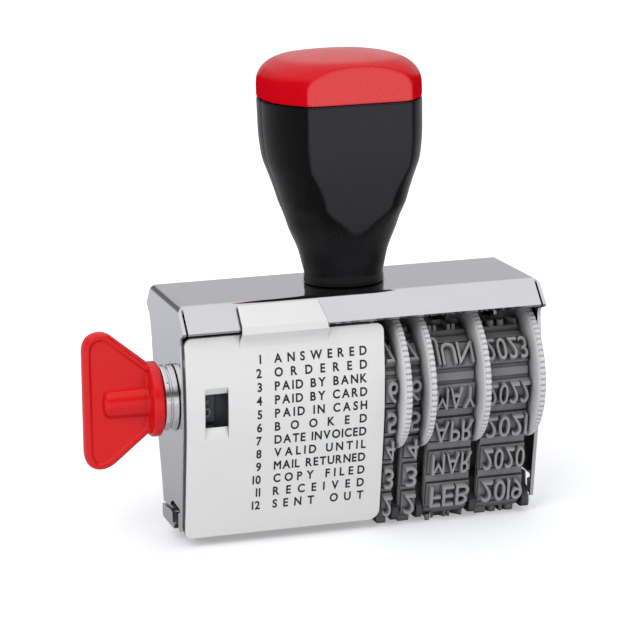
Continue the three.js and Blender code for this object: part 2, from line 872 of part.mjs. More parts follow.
// ------------------------------------------------------------------ assembly
const group = new THREE.Group();
const finishes = {
  plate: { color: 0xd6d8da, roughness: 0.12, metalness: 1 },
  steel: { color: 0xa9acae, roughness: 0.35, metalness: 1 },
  white: { color: 0xe2e1df, roughness: 0.5, metalness: 0 },
  black: { color: 0x17181a, roughness: 0.35, metalness: 0 },
  red: { color: 0xd8161c, roughness: 0.3, metalness: 0 },
  redCap: { color: 0xdd2a26, roughness: 0.45, metalness: 0 },
  rubber: { color: 0x6e7073, roughness: 0.7, metalness: 0 },
  wheel: { color: 0xc9cacb, roughness: 0.45, metalness: 0 },
  slate: { color: 0x3a3d42, roughness: 0.45, metalness: 0 },
};
function put(name, manifold, finish) {
  const m = manifold.getMesh();
  const v = new Float32Array(m.numVert * 3);
  for (let i = 0; i < m.numVert; i++)
    v.set(m.vertProperties.subarray(i * m.numProp, i * m.numProp + 3), i * 3);
  const g = new THREE.BufferGeometry()
    .setAttribute("position", new THREE.BufferAttribute(v, 3))
    .setIndex(new THREE.BufferAttribute(new Uint32Array(m.triVerts), 1));
  g.computeVertexNormals();
  const mesh = new THREE.Mesh(g, new THREE.MeshStandardMaterial(finishes[finish]));
  mesh.name = name;
  group.add(mesh);
}

put("chassis_frame", chassis, "plate");
put("divider_plate", divider, "steel");
put("platen_bar", platen, "steel");
put("index_cover", cover, "white");
put("handle_body", handleBody, "black");
put("handle_cap", handleCap, "redCap");
put("handle_screw", handleScrew, "steel");
put("handle_washer", handleWasher, "steel");
put("main_axle", axle, "steel");
put("axle_washer", axleWasher, "steel");
put("knob_bush", bush, "plate");
put("bush_nut", bushNut, "steel");
put("setting_knob", knob, "red");
put("knob_stem", knobStem, "steel");
put("stem_clip", stemClip, "steel");
put("phrase_drum", phraseDrum, "slate");
put(
  "phrase_band",
  band(
    phraseRun,
    PHRASE_X,
    PHRASE_PAD_X,
    ROWS,
    PAD_LENGTH,
    // row numbers on the margin, one per row
    Array.from({ length: ROWS }, (_, k) => [
      (k * phraseRun.length) / ROWS,
      INDEX_X[0] + 0.3,
      INDEX_X[1],
      1.7,
      BAND_PAD,
    ]),
  ),
  "rubber",
);
for (const key of Object.keys(BANDS)) {
  put(key + "_wheel", thumbWheel(WHEEL_X[key], BANDS[key]), "wheel");
  const [x0, x1] = BANDS[key];
  const day = key.startsWith("day");
  put(
    key + "_band",
    band(
      dateRun,
      [x0, x1],
      [x0 + (day ? 0.35 : 0.2), x1 - 0.1],
      day ? DAY_ROWS : ROWS,
      day ? DAY_PAD_LENGTH : PAD_LENGTH,
    ),
    "rubber",
  );
}

export default group;
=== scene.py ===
"""Rotary date stamp, built round its CAD frame.

It stands on its type at z = 0, with the long side along X. The red wing knob is at the left
(-X), the four date wheels are in the right half, the white index cover is at the front (-Y)
and the handle rises along +Z. Lengths of the pieces are in millimetres; materials, floor,
lights and camera are in metres.
"""

import functools
import math

import bmesh
import bpy
from mathutils import Matrix, Vector

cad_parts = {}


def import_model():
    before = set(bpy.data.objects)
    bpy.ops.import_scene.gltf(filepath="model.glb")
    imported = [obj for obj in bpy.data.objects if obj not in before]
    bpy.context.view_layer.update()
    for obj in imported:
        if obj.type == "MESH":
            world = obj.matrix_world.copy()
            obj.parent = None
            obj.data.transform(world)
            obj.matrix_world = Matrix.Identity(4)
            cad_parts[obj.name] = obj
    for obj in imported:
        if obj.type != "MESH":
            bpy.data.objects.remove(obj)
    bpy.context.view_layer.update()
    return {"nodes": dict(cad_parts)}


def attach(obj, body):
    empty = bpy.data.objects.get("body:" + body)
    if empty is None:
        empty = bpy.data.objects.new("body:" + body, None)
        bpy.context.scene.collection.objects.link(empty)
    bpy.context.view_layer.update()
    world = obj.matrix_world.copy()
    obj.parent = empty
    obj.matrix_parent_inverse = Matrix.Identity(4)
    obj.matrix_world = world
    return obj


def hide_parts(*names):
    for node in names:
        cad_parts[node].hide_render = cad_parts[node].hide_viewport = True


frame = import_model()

MM = 0.001
scene = bpy.context.scene

# Driving dimensions
HALF_LENGTH = 31.0  # chassis, along X
SHEET = 0.6  # thickness of the folded sheet
TOP_Z = 41.7
TOP_HALF = 10.15  # flat top, along Y, to where the flanges bend down
FLANGE = 3.9  # fall and reach of the 45 degree flanges
FLANGE_Y = TOP_HALF + FLANGE
FLANGE_Z = TOP_Z - FLANGE
AXIS = (-4.6, 25.5)  # y, z of the wheel axis
WHEEL_R = 12.1
SEAM_Z = 72.9  # between handle and cap
HANDLE_TOP = 80.65
HEAD_REACH = 13.65  # half width of the handle's head along X


# ---------------------------------------------------------------- curves
def smoothstep(t):
    t = min(1.0, max(0.0, t))
    return t * t * (3 - 2 * t)


def spline(table, x):
    """Cubic curve through [(x, y), ...] with x rising, level beyond the ends."""
    if x <= table[0][0]:
        return table[0][1]
    if x >= table[-1][0]:
        return table[-1][1]
    last = len(table) - 1
    i = next(k for k in range(last) if x <= table[k + 1][0])

    def slope(k):
        before, after = table[max(k - 1, 0)], table[min(k + 1, last)]
        return (after[1] - before[1]) / (after[0] - before[0])

    (x0, y0), (x1, y1) = table[i], table[i + 1]
    step = x1 - x0
    t = (x - x0) / step
    rise0, rise1 = slope(i) * step, slope(i + 1) * step
    return (
        (2 * t**3 - 3 * t**2 + 1) * y0
        + (t**3 - 2 * t**2 + t) * rise0
        + (-2 * t**3 + 3 * t**2) * y1
        + (t**3 - t**2) * rise1
    )


def resample(table, steps):
    """The curve through [(z, y), ...] as steps + 1 outline points (y, z)."""
    low, high = table[0][0], table[-1][0]
    heights = [low + (high - low) * i / steps for i in range(steps + 1)]
    return [(spline(table, z), z) for z in heights]


def arc(cx, cy, radius, start, end, steps=8):
    angles = [start + (end - start) * i / steps for i in range(steps + 1)]
    return [(cx + radius * math.cos(a), cy + radius * math.sin(a)) for a in angles]


def circle(cx, cy, radius, count):
    angles = [2 * math.pi * i / count for i in range(count)]
    return [(cx + radius * math.cos(a), cy + radius * math.sin(a)) for a in angles]


# ---------------------------------------------------------------- shader nodes
def feed(tree, node, inputs):
    """Fills a node's inputs, each with a value or with a link from a socket."""
    for key, value in inputs.items():
        if isinstance(value, bpy.types.NodeSocket):
            tree.links.new(value, node.inputs[key])
        else:
            node.inputs[key].default_value = value


def add_node(tree, kind, inputs=None, **settings):
    node = tree.nodes.new("ShaderNode" + kind)
    for key, value in settings.items():
        setattr(node, key, value)
    feed(tree, node, inputs or {})
    return node


def map_range(tree, value, source, target=(0.0, 1.0), **settings):
    inputs = {
        "Value": value,
        "From Min": source[0], "From Max": source[1],
        "To Min": target[0], "To Max": target[1],
    }
    return add_node(tree, "MapRange", inputs, **settings).outputs["Result"]


def math_node(tree, operation, *values):
    inputs = dict(enumerate(values))
    return add_node(tree, "Math", inputs, operation=operation).outputs["Value"]


def vector_math(tree, operation, inputs, output="Vector"):
    return add_node(tree, "VectorMath", inputs, operation=operation).outputs[output]


def mix(tree, factor, a, b, data_type="RGBA"):
    inputs = {"Factor": factor, "A": a, "B": b}
    return add_node(tree, "Mix", inputs, data_type=data_type).outputs["Result"]


def darken_gaps(tree, base, dark, distance, amount, closed=0.35):
    """Mixes in a dark colour where other surfaces stand close: painted shade in gaps, except on the
    type bands, where it is ink dirt in the crevices. closed: occlusion of full effect.
    """
    occlusion = add_node(tree, "AmbientOcclusion", {"Distance": distance}, samples=6)
    factor = map_range(tree, occlusion.outputs["AO"], (closed, 0.95), (amount, 0.0))
    return mix(tree, factor, base, (*dark, 1))


def new_material(name):
    """A material with its node tree and Principled node."""
    material = bpy.data.materials.new(name)
    material.use_nodes = True
    return material, material.node_tree, material.node_tree.nodes["Principled BSDF"]


# ---------------------------------------------------------------- materials
def build_material(
    name, color, roughness, variation, metallic=0.0, specular=0.5, subsurface=0.0,
    bump=None, stretch=None, finish_and_sheen=None, finish_and_sheen_specular=None, grime_and_shade=None, shade=None,
):
    """Principled material with a fine grain.

    roughness: middle, spread. variation: spread of brightness, noise scale.
    bump: depth, noise scale. stretch: scale of the fine grain along X, Y, Z.
    finish_and_sheen: colour where the mesh attribute finish_and_sheen is 1 (painted sheen on the
    handle and cap, a duller finish with painted shade inside the chassis, lighter type faces on the
    bands); finish_and_sheen_specular: specular level there.
    grime_and_shade: colour, distance, amount of the dark in gaps: painted shade, on the type bands
    ink dirt.
    shade: colour, direction, start and full alignment of faces that turn that way, for painted shade
    (on plating a painted dark reflection).
    """
    material, tree, surface = new_material(name)
    feed(tree, surface, {
        "Metallic": metallic,
        "Coat Roughness": 0.1,
        "Specular IOR Level": specular,
        "IOR": 1.5,
    })
    if subsurface:
        feed(tree, surface, {
            "Subsurface Weight": subsurface,
            "Subsurface Radius": (0.001, 0.0006, 0.0005),
            "Subsurface Scale": 0.5,
        })

    # brightness: a broad and a fine noise
    brightness_spread, grain = variation
    place = add_node(tree, "TexCoord").outputs["Object"]
    grain_place = place
    if stretch:
        mapping = add_node(tree, "Mapping", {"Vector": place, "Scale": stretch})
        grain_place = mapping.outputs["Vector"]
    broad = add_node(tree, "TexNoise", {"Vector": place, "Scale": grain * 0.12, "Detail": 4})
    fine = add_node(tree, "TexNoise", {
        "Vector": grain_place, "Scale": grain, "Detail": 6, "Roughness": 0.6,
    })
    both = math_node(tree, "ADD", broad.outputs["Fac"], fine.outputs["Fac"])
    brightness = map_range(
        tree, both, (0.6, 1.4), (1 - brightness_spread, 1 + brightness_spread)
    )
    base = vector_math(tree, "SCALE", {0: color, "Scale": brightness})

    # second colour and specular level where the mask is 1: painted sheen on the handle and cap,
    # duller finish and painted shade inside the chassis, lighter type faces on the bands
    if finish_and_sheen:
        finish_and_sheen_mask = add_node(tree, "Attribute", attribute_name="finish_and_sheen").outputs["Fac"]
        base = mix(tree, finish_and_sheen_mask, base, (*finish_and_sheen, 1))
        if finish_and_sheen_specular is not None:
            level = map_range(tree, finish_and_sheen_mask, (0.0, 1.0), (specular, finish_and_sheen_specular))
            feed(tree, surface, {"Specular IOR Level": level})
    # dark where surfaces stand close: painted shade, on the type bands ink dirt
    if grime_and_shade:
        base = darken_gaps(tree, base, *grime_and_shade)
    # painted shade on faces whose world-space normal turns one way
    if shade:
        dark, direction, start, full = shade
        normal = add_node(tree, "NewGeometry").outputs["Normal"]
        inputs = {0: normal, 1: Vector(direction).normalized()}
        facing = vector_math(tree, "DOT_PRODUCT", inputs, "Value")
        base = mix(tree, map_range(tree, facing, (start, full)), base, (*dark, 1))

    middle, spread = roughness
    rough = map_range(tree, fine.outputs["Fac"], (0.3, 0.7), (middle - spread, middle + spread))
    feed(tree, surface, {"Base Color": base, "Roughness": rough})
    if bump:
        depth, scale = bump
        noise = add_node(tree, "TexNoise", {"Vector": grain_place, "Scale": scale, "Detail": 3})
        relief = add_node(tree, "Bump", {
            "Strength": 1.0, "Distance": depth, "Height": noise.outputs["Fac"],
        })
        feed(tree, surface, {"Normal": relief.outputs["Normal"]})
    return material


LOOKS = {
    "plated_sheet": dict(
        color=(0.745, 0.745, 0.757), roughness=(0.09, 0.025), variation=(0.02, 900),
        # inward faces darker: duller unplated finish and painted shade
        metallic=1.0, bump=(0.0000012, 900), stretch=(0.08, 1, 1), finish_and_sheen=(0.24, 0.24, 0.245),
        # dark in the slits, notches and along the flange edges: painted shade
        grime_and_shade=((0.02, 0.02, 0.021), 0.0005, 0.95),
        # dark line on the plates' front corner bevels: painted dark reflection
        shade=((0.02, 0.02, 0.021), (-1, -0.85, 0.3), 0.87, 0.95),
    ),
    "plated_bush": dict(
        color=(0.86, 0.86, 0.87), roughness=(0.08, 0.03), variation=(0.02, 900), metallic=1.0,
    ),
    "plain_steel": dict(
        color=(0.52, 0.53, 0.55), roughness=(0.32, 0.1), variation=(0.08, 1500),
        metallic=1.0, bump=(0.000004, 5000), stretch=(1, 1, 0.1),
    ),
    "white_cover": dict(
        color=(0.80, 0.795, 0.785), roughness=(0.38, 0.05), variation=(0.012, 1200),
        subsurface=0.15, bump=(0.0000025, 9000),
        # dark faces turned to the left (cover side, window wall, hook end): painted shade
        shade=((0.075, 0.075, 0.077), (-1, 0, 0), 0.45, 0.85),
    ),
    "cover_print": dict(
        color=(0.012, 0.012, 0.013), roughness=(0.5, 0.1), variation=(0.2, 9000),
    ),
    "black_handle": dict(
        color=(0.0045, 0.0045, 0.0048), roughness=(0.26, 0.04), variation=(0.15, 1500),
        # lighter, glossier facets and neck: painted sheen
        specular=0.05, bump=(0.0000020, 7000), finish_and_sheen=(0.012, 0.0115, 0.0145),
        finish_and_sheen_specular=0.42,
    ),
    "red_cap": dict(
        color=(0.60, 0.003, 0.009), roughness=(0.28, 0.04), variation=(0.03, 1500),
        # lighter, glossier facets and top: painted highlight
        specular=0.0, subsurface=0.1, bump=(0.000002, 8000), finish_and_sheen=(0.72, 0.036, 0.036),
        finish_and_sheen_specular=0.6,
    ),
    "red_knob": dict(
        color=(0.69, 0.006, 0.008), roughness=(0.18, 0.05), variation=(0.03, 900),
        specular=0.42, subsurface=0.1, bump=(0.0000015, 2500),
    ),
    "dark_drum": dict(
        color=(0.045, 0.05, 0.06), roughness=(0.42, 0.08), variation=(0.12, 1500),
        bump=(0.000004, 4000),
    ),
    "band_rubber": dict(
        color=(0.21, 0.21, 0.215), roughness=(0.55, 0.1), variation=(0.14, 2500),
        # lighter on the type faces and pad tops
        bump=(0.000010, 5000), finish_and_sheen=(0.34, 0.34, 0.345),
        # dark in the crevices: ink dirt
        grime_and_shade=((0.010, 0.010, 0.011), 0.0009, 0.85),
    ),
    "phrase_rubber_shaded": dict(
        # the grey band rubber made darker: painted shade, for the band lying in shade behind the
        # cover
        color=(0.055, 0.060, 0.068), roughness=(0.5, 0.1), variation=(0.12, 2500),
        # lighter on the type faces and pad tops
        bump=(0.000008, 5000), finish_and_sheen=(0.12, 0.125, 0.13),
        # dark in the crevices: ink dirt
        grime_and_shade=((0.006, 0.006, 0.007), 0.0009, 0.8),
    ),
    "wheel_plastic": dict(
        color=(0.70, 0.70, 0.705), roughness=(0.42, 0.06), variation=(0.03, 1500),
        # dark between the wheels and the bands: painted shade
        subsurface=0.1, bump=(0.000004, 5000), grime_and_shade=((0.09, 0.09, 0.095), 0.0034, 0.82),
    ),
    "platen_grey": dict(
        color=(0.065, 0.065, 0.070), roughness=(0.45, 0.08), variation=(0.1, 2000),
        bump=(0.000005, 4000),
    ),
}
MATERIALS = {name: build_material(name, **look) for name, look in LOOKS.items()}


def plate_ends(material, limit):
    """Turns the parts beyond +-limit along X into bright plating, with painted shade in the gaps
    round it.
    """
    tree = material.node_tree
    surface = tree.nodes["Principled BSDF"]
    place = add_node(tree, "TexCoord").outputs["Object"]
    along_x = add_node(tree, "SeparateXYZ", {"Vector": place}).outputs["X"]
    beyond = math_node(tree, "GREATER_THAN", math_node(tree, "ABSOLUTE", along_x), limit)
    old_base = surface.inputs["Base Color"].links[0].from_socket
    old_roughness = surface.inputs["Roughness"].links[0].from_socket
    base = mix(tree, beyond, old_base, (0.74, 0.74, 0.752, 1))
    # painted shade round the tab where it sits in the plates' notches
    base = darken_gaps(
        tree, base, (0.012, 0.012, 0.013), distance=0.0018, amount=0.95, closed=0.45
    )
    roughness = mix(tree, beyond, old_roughness, 0.16, data_type="FLOAT")
    feed(tree, surface, {"Metallic": beyond, "Base Color": base, "Roughness": roughness})


plate_ends(MATERIALS["platen_grey"], limit=0.0299)


# ---------------------------------------------------------------- mesh helpers
def link_mesh(name, mesh):
    obj = bpy.data.objects.new(name, mesh)
    scene.collection.objects.link(obj)
    return obj


def shade_smooth(mesh):
    mesh.polygons.foreach_set("use_smooth", [True] * len(mesh.polygons))


def mesh_object(name, points, faces, smooth=True, scale=MM):
    mesh = bpy.data.meshes.new(name)
    mesh.from_pydata([(x * scale, y * scale, z * scale) for x, y, z in points], [], faces)
    mesh.validate()
    bm = bmesh.new()
    bm.from_mesh(mesh)
    bmesh.ops.recalc_face_normals(bm, faces=bm.faces)
    bm.to_mesh(mesh)
    bm.free()
    if smooth:
        shade_smooth(mesh)
    return link_mesh(name, mesh)


def sharpen(obj, degrees):
    """Sharp edges above an angle, so that the rest shades smoothly."""
    mesh = obj.data
    shade_smooth(mesh)
    bm = bmesh.new()
    bm.from_mesh(mesh)
    limit = math.radians(degrees)
    for edge in bm.edges:
        if len(edge.link_faces) == 2 and edge.calc_face_angle(0) > limit:
            edge.smooth = False
    bm.to_mesh(mesh)
    bm.free()


def round_edges(obj, width, segments, degrees):
    """Bevels the edges above an angle; the large faces keep their normals."""
    edges = obj.modifiers.new("edges", "BEVEL")
    edges.width = width * MM
    edges.segments = segments
    edges.limit_method = "ANGLE"
    edges.angle_limit = math.radians(degrees)
    edges.use_clamp_overlap = True
    normals = obj.modifiers.new("normals", "WEIGHTED_NORMAL")
    normals.weight = 80
    shade_smooth(obj.data)
    return edges


def apply_modifiers(obj):
    bpy.context.view_layer.update()
    depsgraph = bpy.context.evaluated_depsgraph_get()
    mesh = bpy.data.meshes.new_from_object(obj.evaluated_get(depsgraph))
    old = obj.data
    obj.modifiers.clear()
    obj.data = mesh
    if old.users == 0:
        bpy.data.meshes.remove(old)


def boolean(obj, tool, operation="DIFFERENCE"):
    """Cuts, joins or trims obj with the tool object, which is used up."""
    modifier = obj.modifiers.new("bool", "BOOLEAN")
    modifier.operation = operation
    modifier.solver = "EXACT"
    modifier.object = tool
    apply_modifiers(obj)
    bpy.data.objects.remove(tool)


def prism(name, outline, low, high, axis):
    """A closed outline pushed from low to high along X (outline y, z), Y (x, z) or Z (x, y)."""
    n = len(outline)
    put = {
        "X": lambda a, b, c: (c, a, b),
        "Y": lambda a, b, c: (a, c, b),
        "Z": lambda a, b, c: (a, b, c),
    }[axis]
    points = [put(a, b, low) for a, b in outline] + [put(a, b, high) for a, b in outline]
    faces = [tuple(range(n)), tuple(range(2 * n - 1, n - 1, -1))]
    faces += [(i, (i + 1) % n, n + (i + 1) % n, n + i) for i in range(n)]
    return mesh_object(name, points, faces, smooth=False)


def block(name, x0, x1, y0, y1, z0, z1):
    return prism(name, [(y0, z0), (y1, z0), (y1, z1), (y0, z1)], x0, x1, "X")


def skin(name, rings, capped=True):
    """Closed rings of equal count joined by quads. Capped at both ends, or else joined up."""
    n = len(rings[0])
    points = [point for ring in rings for point in ring]
    faces = []
    for k in range(len(rings) - 1 if capped else len(rings)):
        a, b = k * n, ((k + 1) % len(rings)) * n
        for i in range(n):
            j = (i + 1) % n
            faces.append((a + i, a + j, b + j, b + i))
    if capped:
        base = (len(rings) - 1) * n
        faces.append(tuple(range(n - 1, -1, -1)))
        faces.append(tuple(base + i for i in range(n)))
    return mesh_object(name, points, faces)


def turned(name, profile, segments, shape=None):
    """Closed profile [(x, radius), ...] turned about the wheel axis.
    shape(step, radius) may change the radius."""
    rings = []
    for i in range(segments):
        angle = 2 * math.pi * i / segments
        ring = []
        for x, radius in profile:
            r = shape(i, radius) if shape else radius
            ring.append((x, AXIS[0] + r * math.cos(angle), AXIS[1] + r * math.sin(angle)))
        rings.append(ring)
    return skin(name, rings, capped=False)


def join(name, objects):
    bm = bmesh.new()
    for obj in objects:
        bm.from_mesh(obj.data)
        bpy.data.objects.remove(obj)
    return mesh_from(name, bm)


def mesh_from(name, bm):
    mesh = bpy.data.meshes.new(name)
    bm.to_mesh(mesh)
    bm.free()
    return link_mesh(name, mesh)


def set_finish_and_sheen(obj, values, domain="POINT"):
    obj.data.attributes.new("finish_and_sheen", "FLOAT", domain).data.foreach_set("value", values)


def dress(obj, body, slot, material=None, stands_for=None):
    """Gives the piece its material (the slot's own unless named) and its place in the frame."""
    obj.data.materials.append(MATERIALS[material or slot])
    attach(obj, body)
    if stands_for:
        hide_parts(stands_for)


# ---------------------------------------------------------------- lettering
SPACE_WIDTH = 0.32


@functools.cache
def glyph(char, heavy):
    """Flat triangulated character, thickened by heavy: points, faces."""
    curve = bpy.data.curves.new("glyph", "FONT")
    curve.body = char
    curve.size = 1.0
    curve.offset = heavy
    curve.resolution_u = 5
    obj = bpy.data.objects.new("glyph", curve)
    scene.collection.objects.link(obj)
    bpy.context.view_layer.update()
    depsgraph = bpy.context.evaluated_depsgraph_get()
    mesh = bpy.data.meshes.new_from_object(obj.evaluated_get(depsgraph))
    bm = bmesh.new()
    bm.from_mesh(mesh)
    bmesh.ops.remove_doubles(bm, verts=bm.verts, dist=1e-5)
    bmesh.ops.dissolve_limit(bm, angle_limit=0.002, verts=bm.verts, edges=bm.edges)
    bmesh.ops.triangulate(bm, faces=bm.faces)
    bm.verts.ensure_lookup_table()
    points = [(v.co.x, v.co.y) for v in bm.verts]
    faces = [[v.index for v in f.verts] for f in bm.faces]
    bm.free()
    bpy.data.meshes.remove(mesh)
    bpy.data.objects.remove(obj)
    bpy.data.curves.remove(curve)
    return points, faces


def lay_word(word, width, height, heavy, gap=None, squeeze=None):
    """Characters on a line from its lower left: [(points, faces)].
    With a gap alone they are squeezed to fill the width. With a squeeze (their width scale)
    alone the gaps open up to fill it. With both they end at the right of the width."""
    capital = [y for _, y in glyph("H", heavy)[0]]
    low, high = min(capital), max(capital)
    scale = height / (high - low)
    items = []
    for char in word:
        if char == " ":
            items.append(([], [], SPACE_WIDTH))
            continue
        points, faces = glyph(char, heavy)
        x0, x1 = min(p[0] for p in points), max(p[0] for p in points)
        items.append(([(x - x0, y - low) for x, y in points], faces, x1 - x0))
    natural = sum(item[2] for item in items) * scale
    gaps = len(items) - 1
    start = 0.0
    if squeeze is None:
        squeeze = (width - gap * gaps) / natural
    elif gap is None:
        gap = (width - natural * squeeze) / gaps
    else:
        start = width - (natural * squeeze + gap * gaps)
    out = []
    for points, faces, wide in items:
        if points:
            laid = [(start + x * scale * squeeze, y * scale) for x, y in points]
            out.append((laid, faces))
        start += wide * scale * squeeze + gap
    return out


def raise_glyph(bm, layer, points, faces, place, low, high, draft, finish_and_sheen):
    """Adds a raised character. place(u, v, d) gives a point at height d over the ground.
    The foot at low is wider than the face at high by draft."""
    uses = {}
    area = 0.0
    for face in faces:
        for a, b in zip(face, face[1:] + face[:1]):
            uses.setdefault((min(a, b), max(a, b)), []).append((a, b))
            area += points[a][0] * points[b][1] - points[b][0] * points[a][1]
    outline = [edges[0] for edges in uses.values() if len(edges) == 1]
    sign = 1.0 if area > 0 else -1.0
    outward = [[0.0, 0.0] for _ in points]
    for a, b in outline:
        dx, dy = points[b][0] - points[a][0], points[b][1] - points[a][1]
        length = math.hypot(dx, dy)
        for i in (a, b):
            outward[i][0] += sign * dy / length
            outward[i][1] += -sign * dx / length

    def widened(i):
        length = math.hypot(*outward[i])
        if length < 1e-6:
            return points[i]
        move = draft * min(1.6, 2.0 / length)
        return tuple(points[i][k] + outward[i][k] / length * move for k in (0, 1))

    top = [bm.verts.new(Vector(place(*point, high)) * MM) for point in points]
    foot = [bm.verts.new(Vector(place(*widened(i), low)) * MM) for i in range(len(points))]
    for verts, value in ((top, finish_and_sheen), (foot, 0.0)):
        for v in verts:
            v[layer] = value
    for face in faces:
        bm.faces.new([top[i] for i in face])
        bm.faces.new([foot[i] for i in reversed(face)])
    for a, b in outline:
        bm.faces.new([top[b], top[a], foot[a], foot[b]])


# ---------------------------------------------------------------- folded sheet chassis
# Edges of the end plates: (z, distance from the middle along Y)
PLATE_BACK = [
    (2.8, 6.2), (9.7, 7.4), (14.5, 8.6), (18, 9.2), (25, 10.4), (31.5, 11.05),
    (33.6, 11.25), (35, 11.6), (36.2, 12.2), (37.1, 13.25),
]
PLATE_FRONT = [
    (2.8, 6.2), (9.5, 7.75), (16.8, 9.55), (22, 10.65), (27.5, 11.15), (30, 11.25),
    (33.6, 11.2), (35.8, 11.15),
]
# The plates' corners up to the flange, as (distance from the middle, z)
FRONT_SHOULDER = [(11.5, 36.65), (12.3, 36.9), (13.25, 37.15)]
PLATE_TOP = [(14.0, 37.8), (TOP_HALF, TOP_Z - 0.02)]
# Section of the lip under the back flange: (y, z)
LIP = [
    (13.72, 37.7), (13.1, 36.85), (12.0, 36.0), (11.35, 35), (11.0, 33.6), (10.8, 31.5),
    (10.35, 28.2), (9.78, 28.2), (10.22, 31.5), (10.42, 33.7), (10.8, 35.25),
    (11.6, 36.45), (12.85, 37.45), (13.15, 38.0),
]
# Notch for the platen tab, with a wider opening above it: (y, z)
NOTCH = [
    (9, -1), (9, 4.6), (6.3, 4.85), (1.1, 5.45), (1.0, 6.1), (-1.15, 6.9),
    (-6.3, 6.7), (-6.3, 6.2), (-4.8, 5.5), (-4.6, 2.2), (-4.6, -1),
]


def roof_section():
    """Top and both flanges, with rounded bends: (y, z)."""
    outer_r = 1.5
    inner_r = outer_r - SHEET
    bend = (TOP_HALF - outer_r * math.tan(math.pi / 8), TOP_Z - outer_r)
    outer = arc(*bend, outer_r, math.pi / 2, math.pi / 4, 8)
    inner = arc(*bend, inner_r, math.pi / 4, math.pi / 2, 5)
    square_off = SHEET * math.sqrt(0.5)
    lower_edge = [(FLANGE_Y, FLANGE_Z), (FLANGE_Y - square_off, FLANGE_Z - square_off)]
    back = outer + lower_edge + inner
    return back + [(-y, z) for y, z in reversed(back)]


def chassis_piece():
    end = HALF_LENGTH
    inside = HALF_LENGTH - SHEET
    shell = prism("chassis_shell", roof_section(), -end, end, "X")
    back = resample(PLATE_BACK, 46) + PLATE_TOP
    front = resample(PLATE_FRONT, 46) + FRONT_SHOULDER + PLATE_TOP
    plate_outline = back + [(-y, z) for y, z in reversed(front)]
    for x0 in (-end, inside):
        boolean(shell, prism("plate", plate_outline, x0, x0 + SHEET, "X"), "UNION")
    boolean(shell, prism("lip", LIP, -end + SHEET + 0.3, inside - 0.3, "X"), "UNION")

    # rounded upper corners at both ends
    corner = 1.3
    envelope = (
        [(-end, -1), (end, -1)]
        + arc(end - corner, TOP_Z - corner, corner, 0, math.pi / 2, 10)
        + arc(-end + corner, TOP_Z - corner, corner, math.pi / 2, math.pi, 10)
    )
    boolean(shell, prism("envelope", envelope, -20, 20, "Y"), "INTERSECT")

    # slits between the flanges and the end plates
    for y0, y1 in ((-16, -TOP_HALF - 0.4), (TOP_HALF + 0.4, 16)):
        for side in (-1, 1):
            x0, x1 = sorted((side * (inside - 0.32), side * (inside + 0.02)))
            boolean(shell, block("slit", x0, x1, y0, y1, 36, TOP_Z - 0.4))
    for x0 in (-end - 1, end - 2):
        boolean(shell, prism("notch", NOTCH, x0, x0 + 3, "X"))

    # holes in the left plate, the right plate and the top
    for centre, radius, count, low, high, axis in (
        (AXIS, 3.95, 48, -end - 1, -end + 2, "X"),
        (AXIS, 1.75, 40, end - 2, end + 1, "X"),
        ((0, 0), 2.3, 40, TOP_Z - 3, TOP_Z + 1, "Z"),
    ):
        boolean(shell, prism("bore", circle(*centre, radius, count), low, high, axis))

    # the faces that look inward are darker: a duller unplated finish, with painted shade inside the
    # frame
    heart = Vector((0, 0, 0.020))
    dull_and_shaded = [
        0.85 if p.normal.dot(p.center - heart) < 0 else 0.0 for p in shell.data.polygons
    ]
    set_finish_and_sheen(shell, dull_and_shaded, "FACE")
    round_edges(shell, 0.11, 2, 28).miter_outer = "MITER_ARC"
    dress(shell, "chassis", "plated_sheet", stands_for="chassis_frame")


# ---------------------------------------------------------------- index cover
# Outer face of the cover: (z, y)
COVER_FACE = [
    (1.7, -7.1), (9.5, -9.1), (16.8, -10.9), (22.0, -12.0), (27.5, -12.6), (32.0, -12.65),
    (36.7, -12.5),
]
COVER_THICK = 0.8
# Hook in plan: (x, its straight-on height z)
HOOK_FRONT_VIEW = [
    (-21.4, 33), (-6.3, 33), (-6.5, 36.2), (-6.8, 37.4), (-8.2, 43), (-21.2, 43), (-21.3, 37),
]
WINDOW_X = (-27.4, -24.0)
WINDOW_Z = (21.75, 26.95)


def cover_y(z):
    return spline(COVER_FACE, z)


def cover_outline():
    """The cover seen from the front: (x, z)."""
    left, right, low, high = -30.5, 3.08, 1.7, 36.7
    corner = 1.3
    quarter = math.pi / 2
    return (
        arc(left + corner, low + corner, corner, math.pi, 1.5 * math.pi)
        + arc(right - 2, 1.75 + 2, 2, 1.5 * math.pi, 1.93 * math.pi)
        + arc(right - corner, high - corner, corner, 0, quarter)
        + arc(left + corner, high - corner, corner, quarter, math.pi)
    )


def cover_hook():
    """Hook over the front flange."""
    def off_flange(y, z, distance):
        return (y - distance * math.sqrt(0.5), z + distance * math.sqrt(0.5))

    near_top = (-TOP_HALF - 0.85, TOP_Z - 0.85)
    section = [
        (-12.62, 34.6), (-12.75, 35.4), (-13.15, 36.0), (-13.9, 36.5), (-14.50, 37.05),
        off_flange(-FLANGE_Y, FLANGE_Z, 0.8),
        off_flange(*near_top, 0.62), off_flange(*near_top, 0.12),
        off_flange(-FLANGE_Y, FLANGE_Z, 0.12),
        (-14.25, 37.55), (-13.35, 36.85), (-12.5, 36.6), (-11.8, 36.3), (-11.8, 34.6),
    ]
    hook = prism("hook", section, -21.4, -6.4, "X")
    boolean(hook, prism("hook_view", HOOK_FRONT_VIEW, -20, -8, "Y"), "INTERSECT")
    return hook


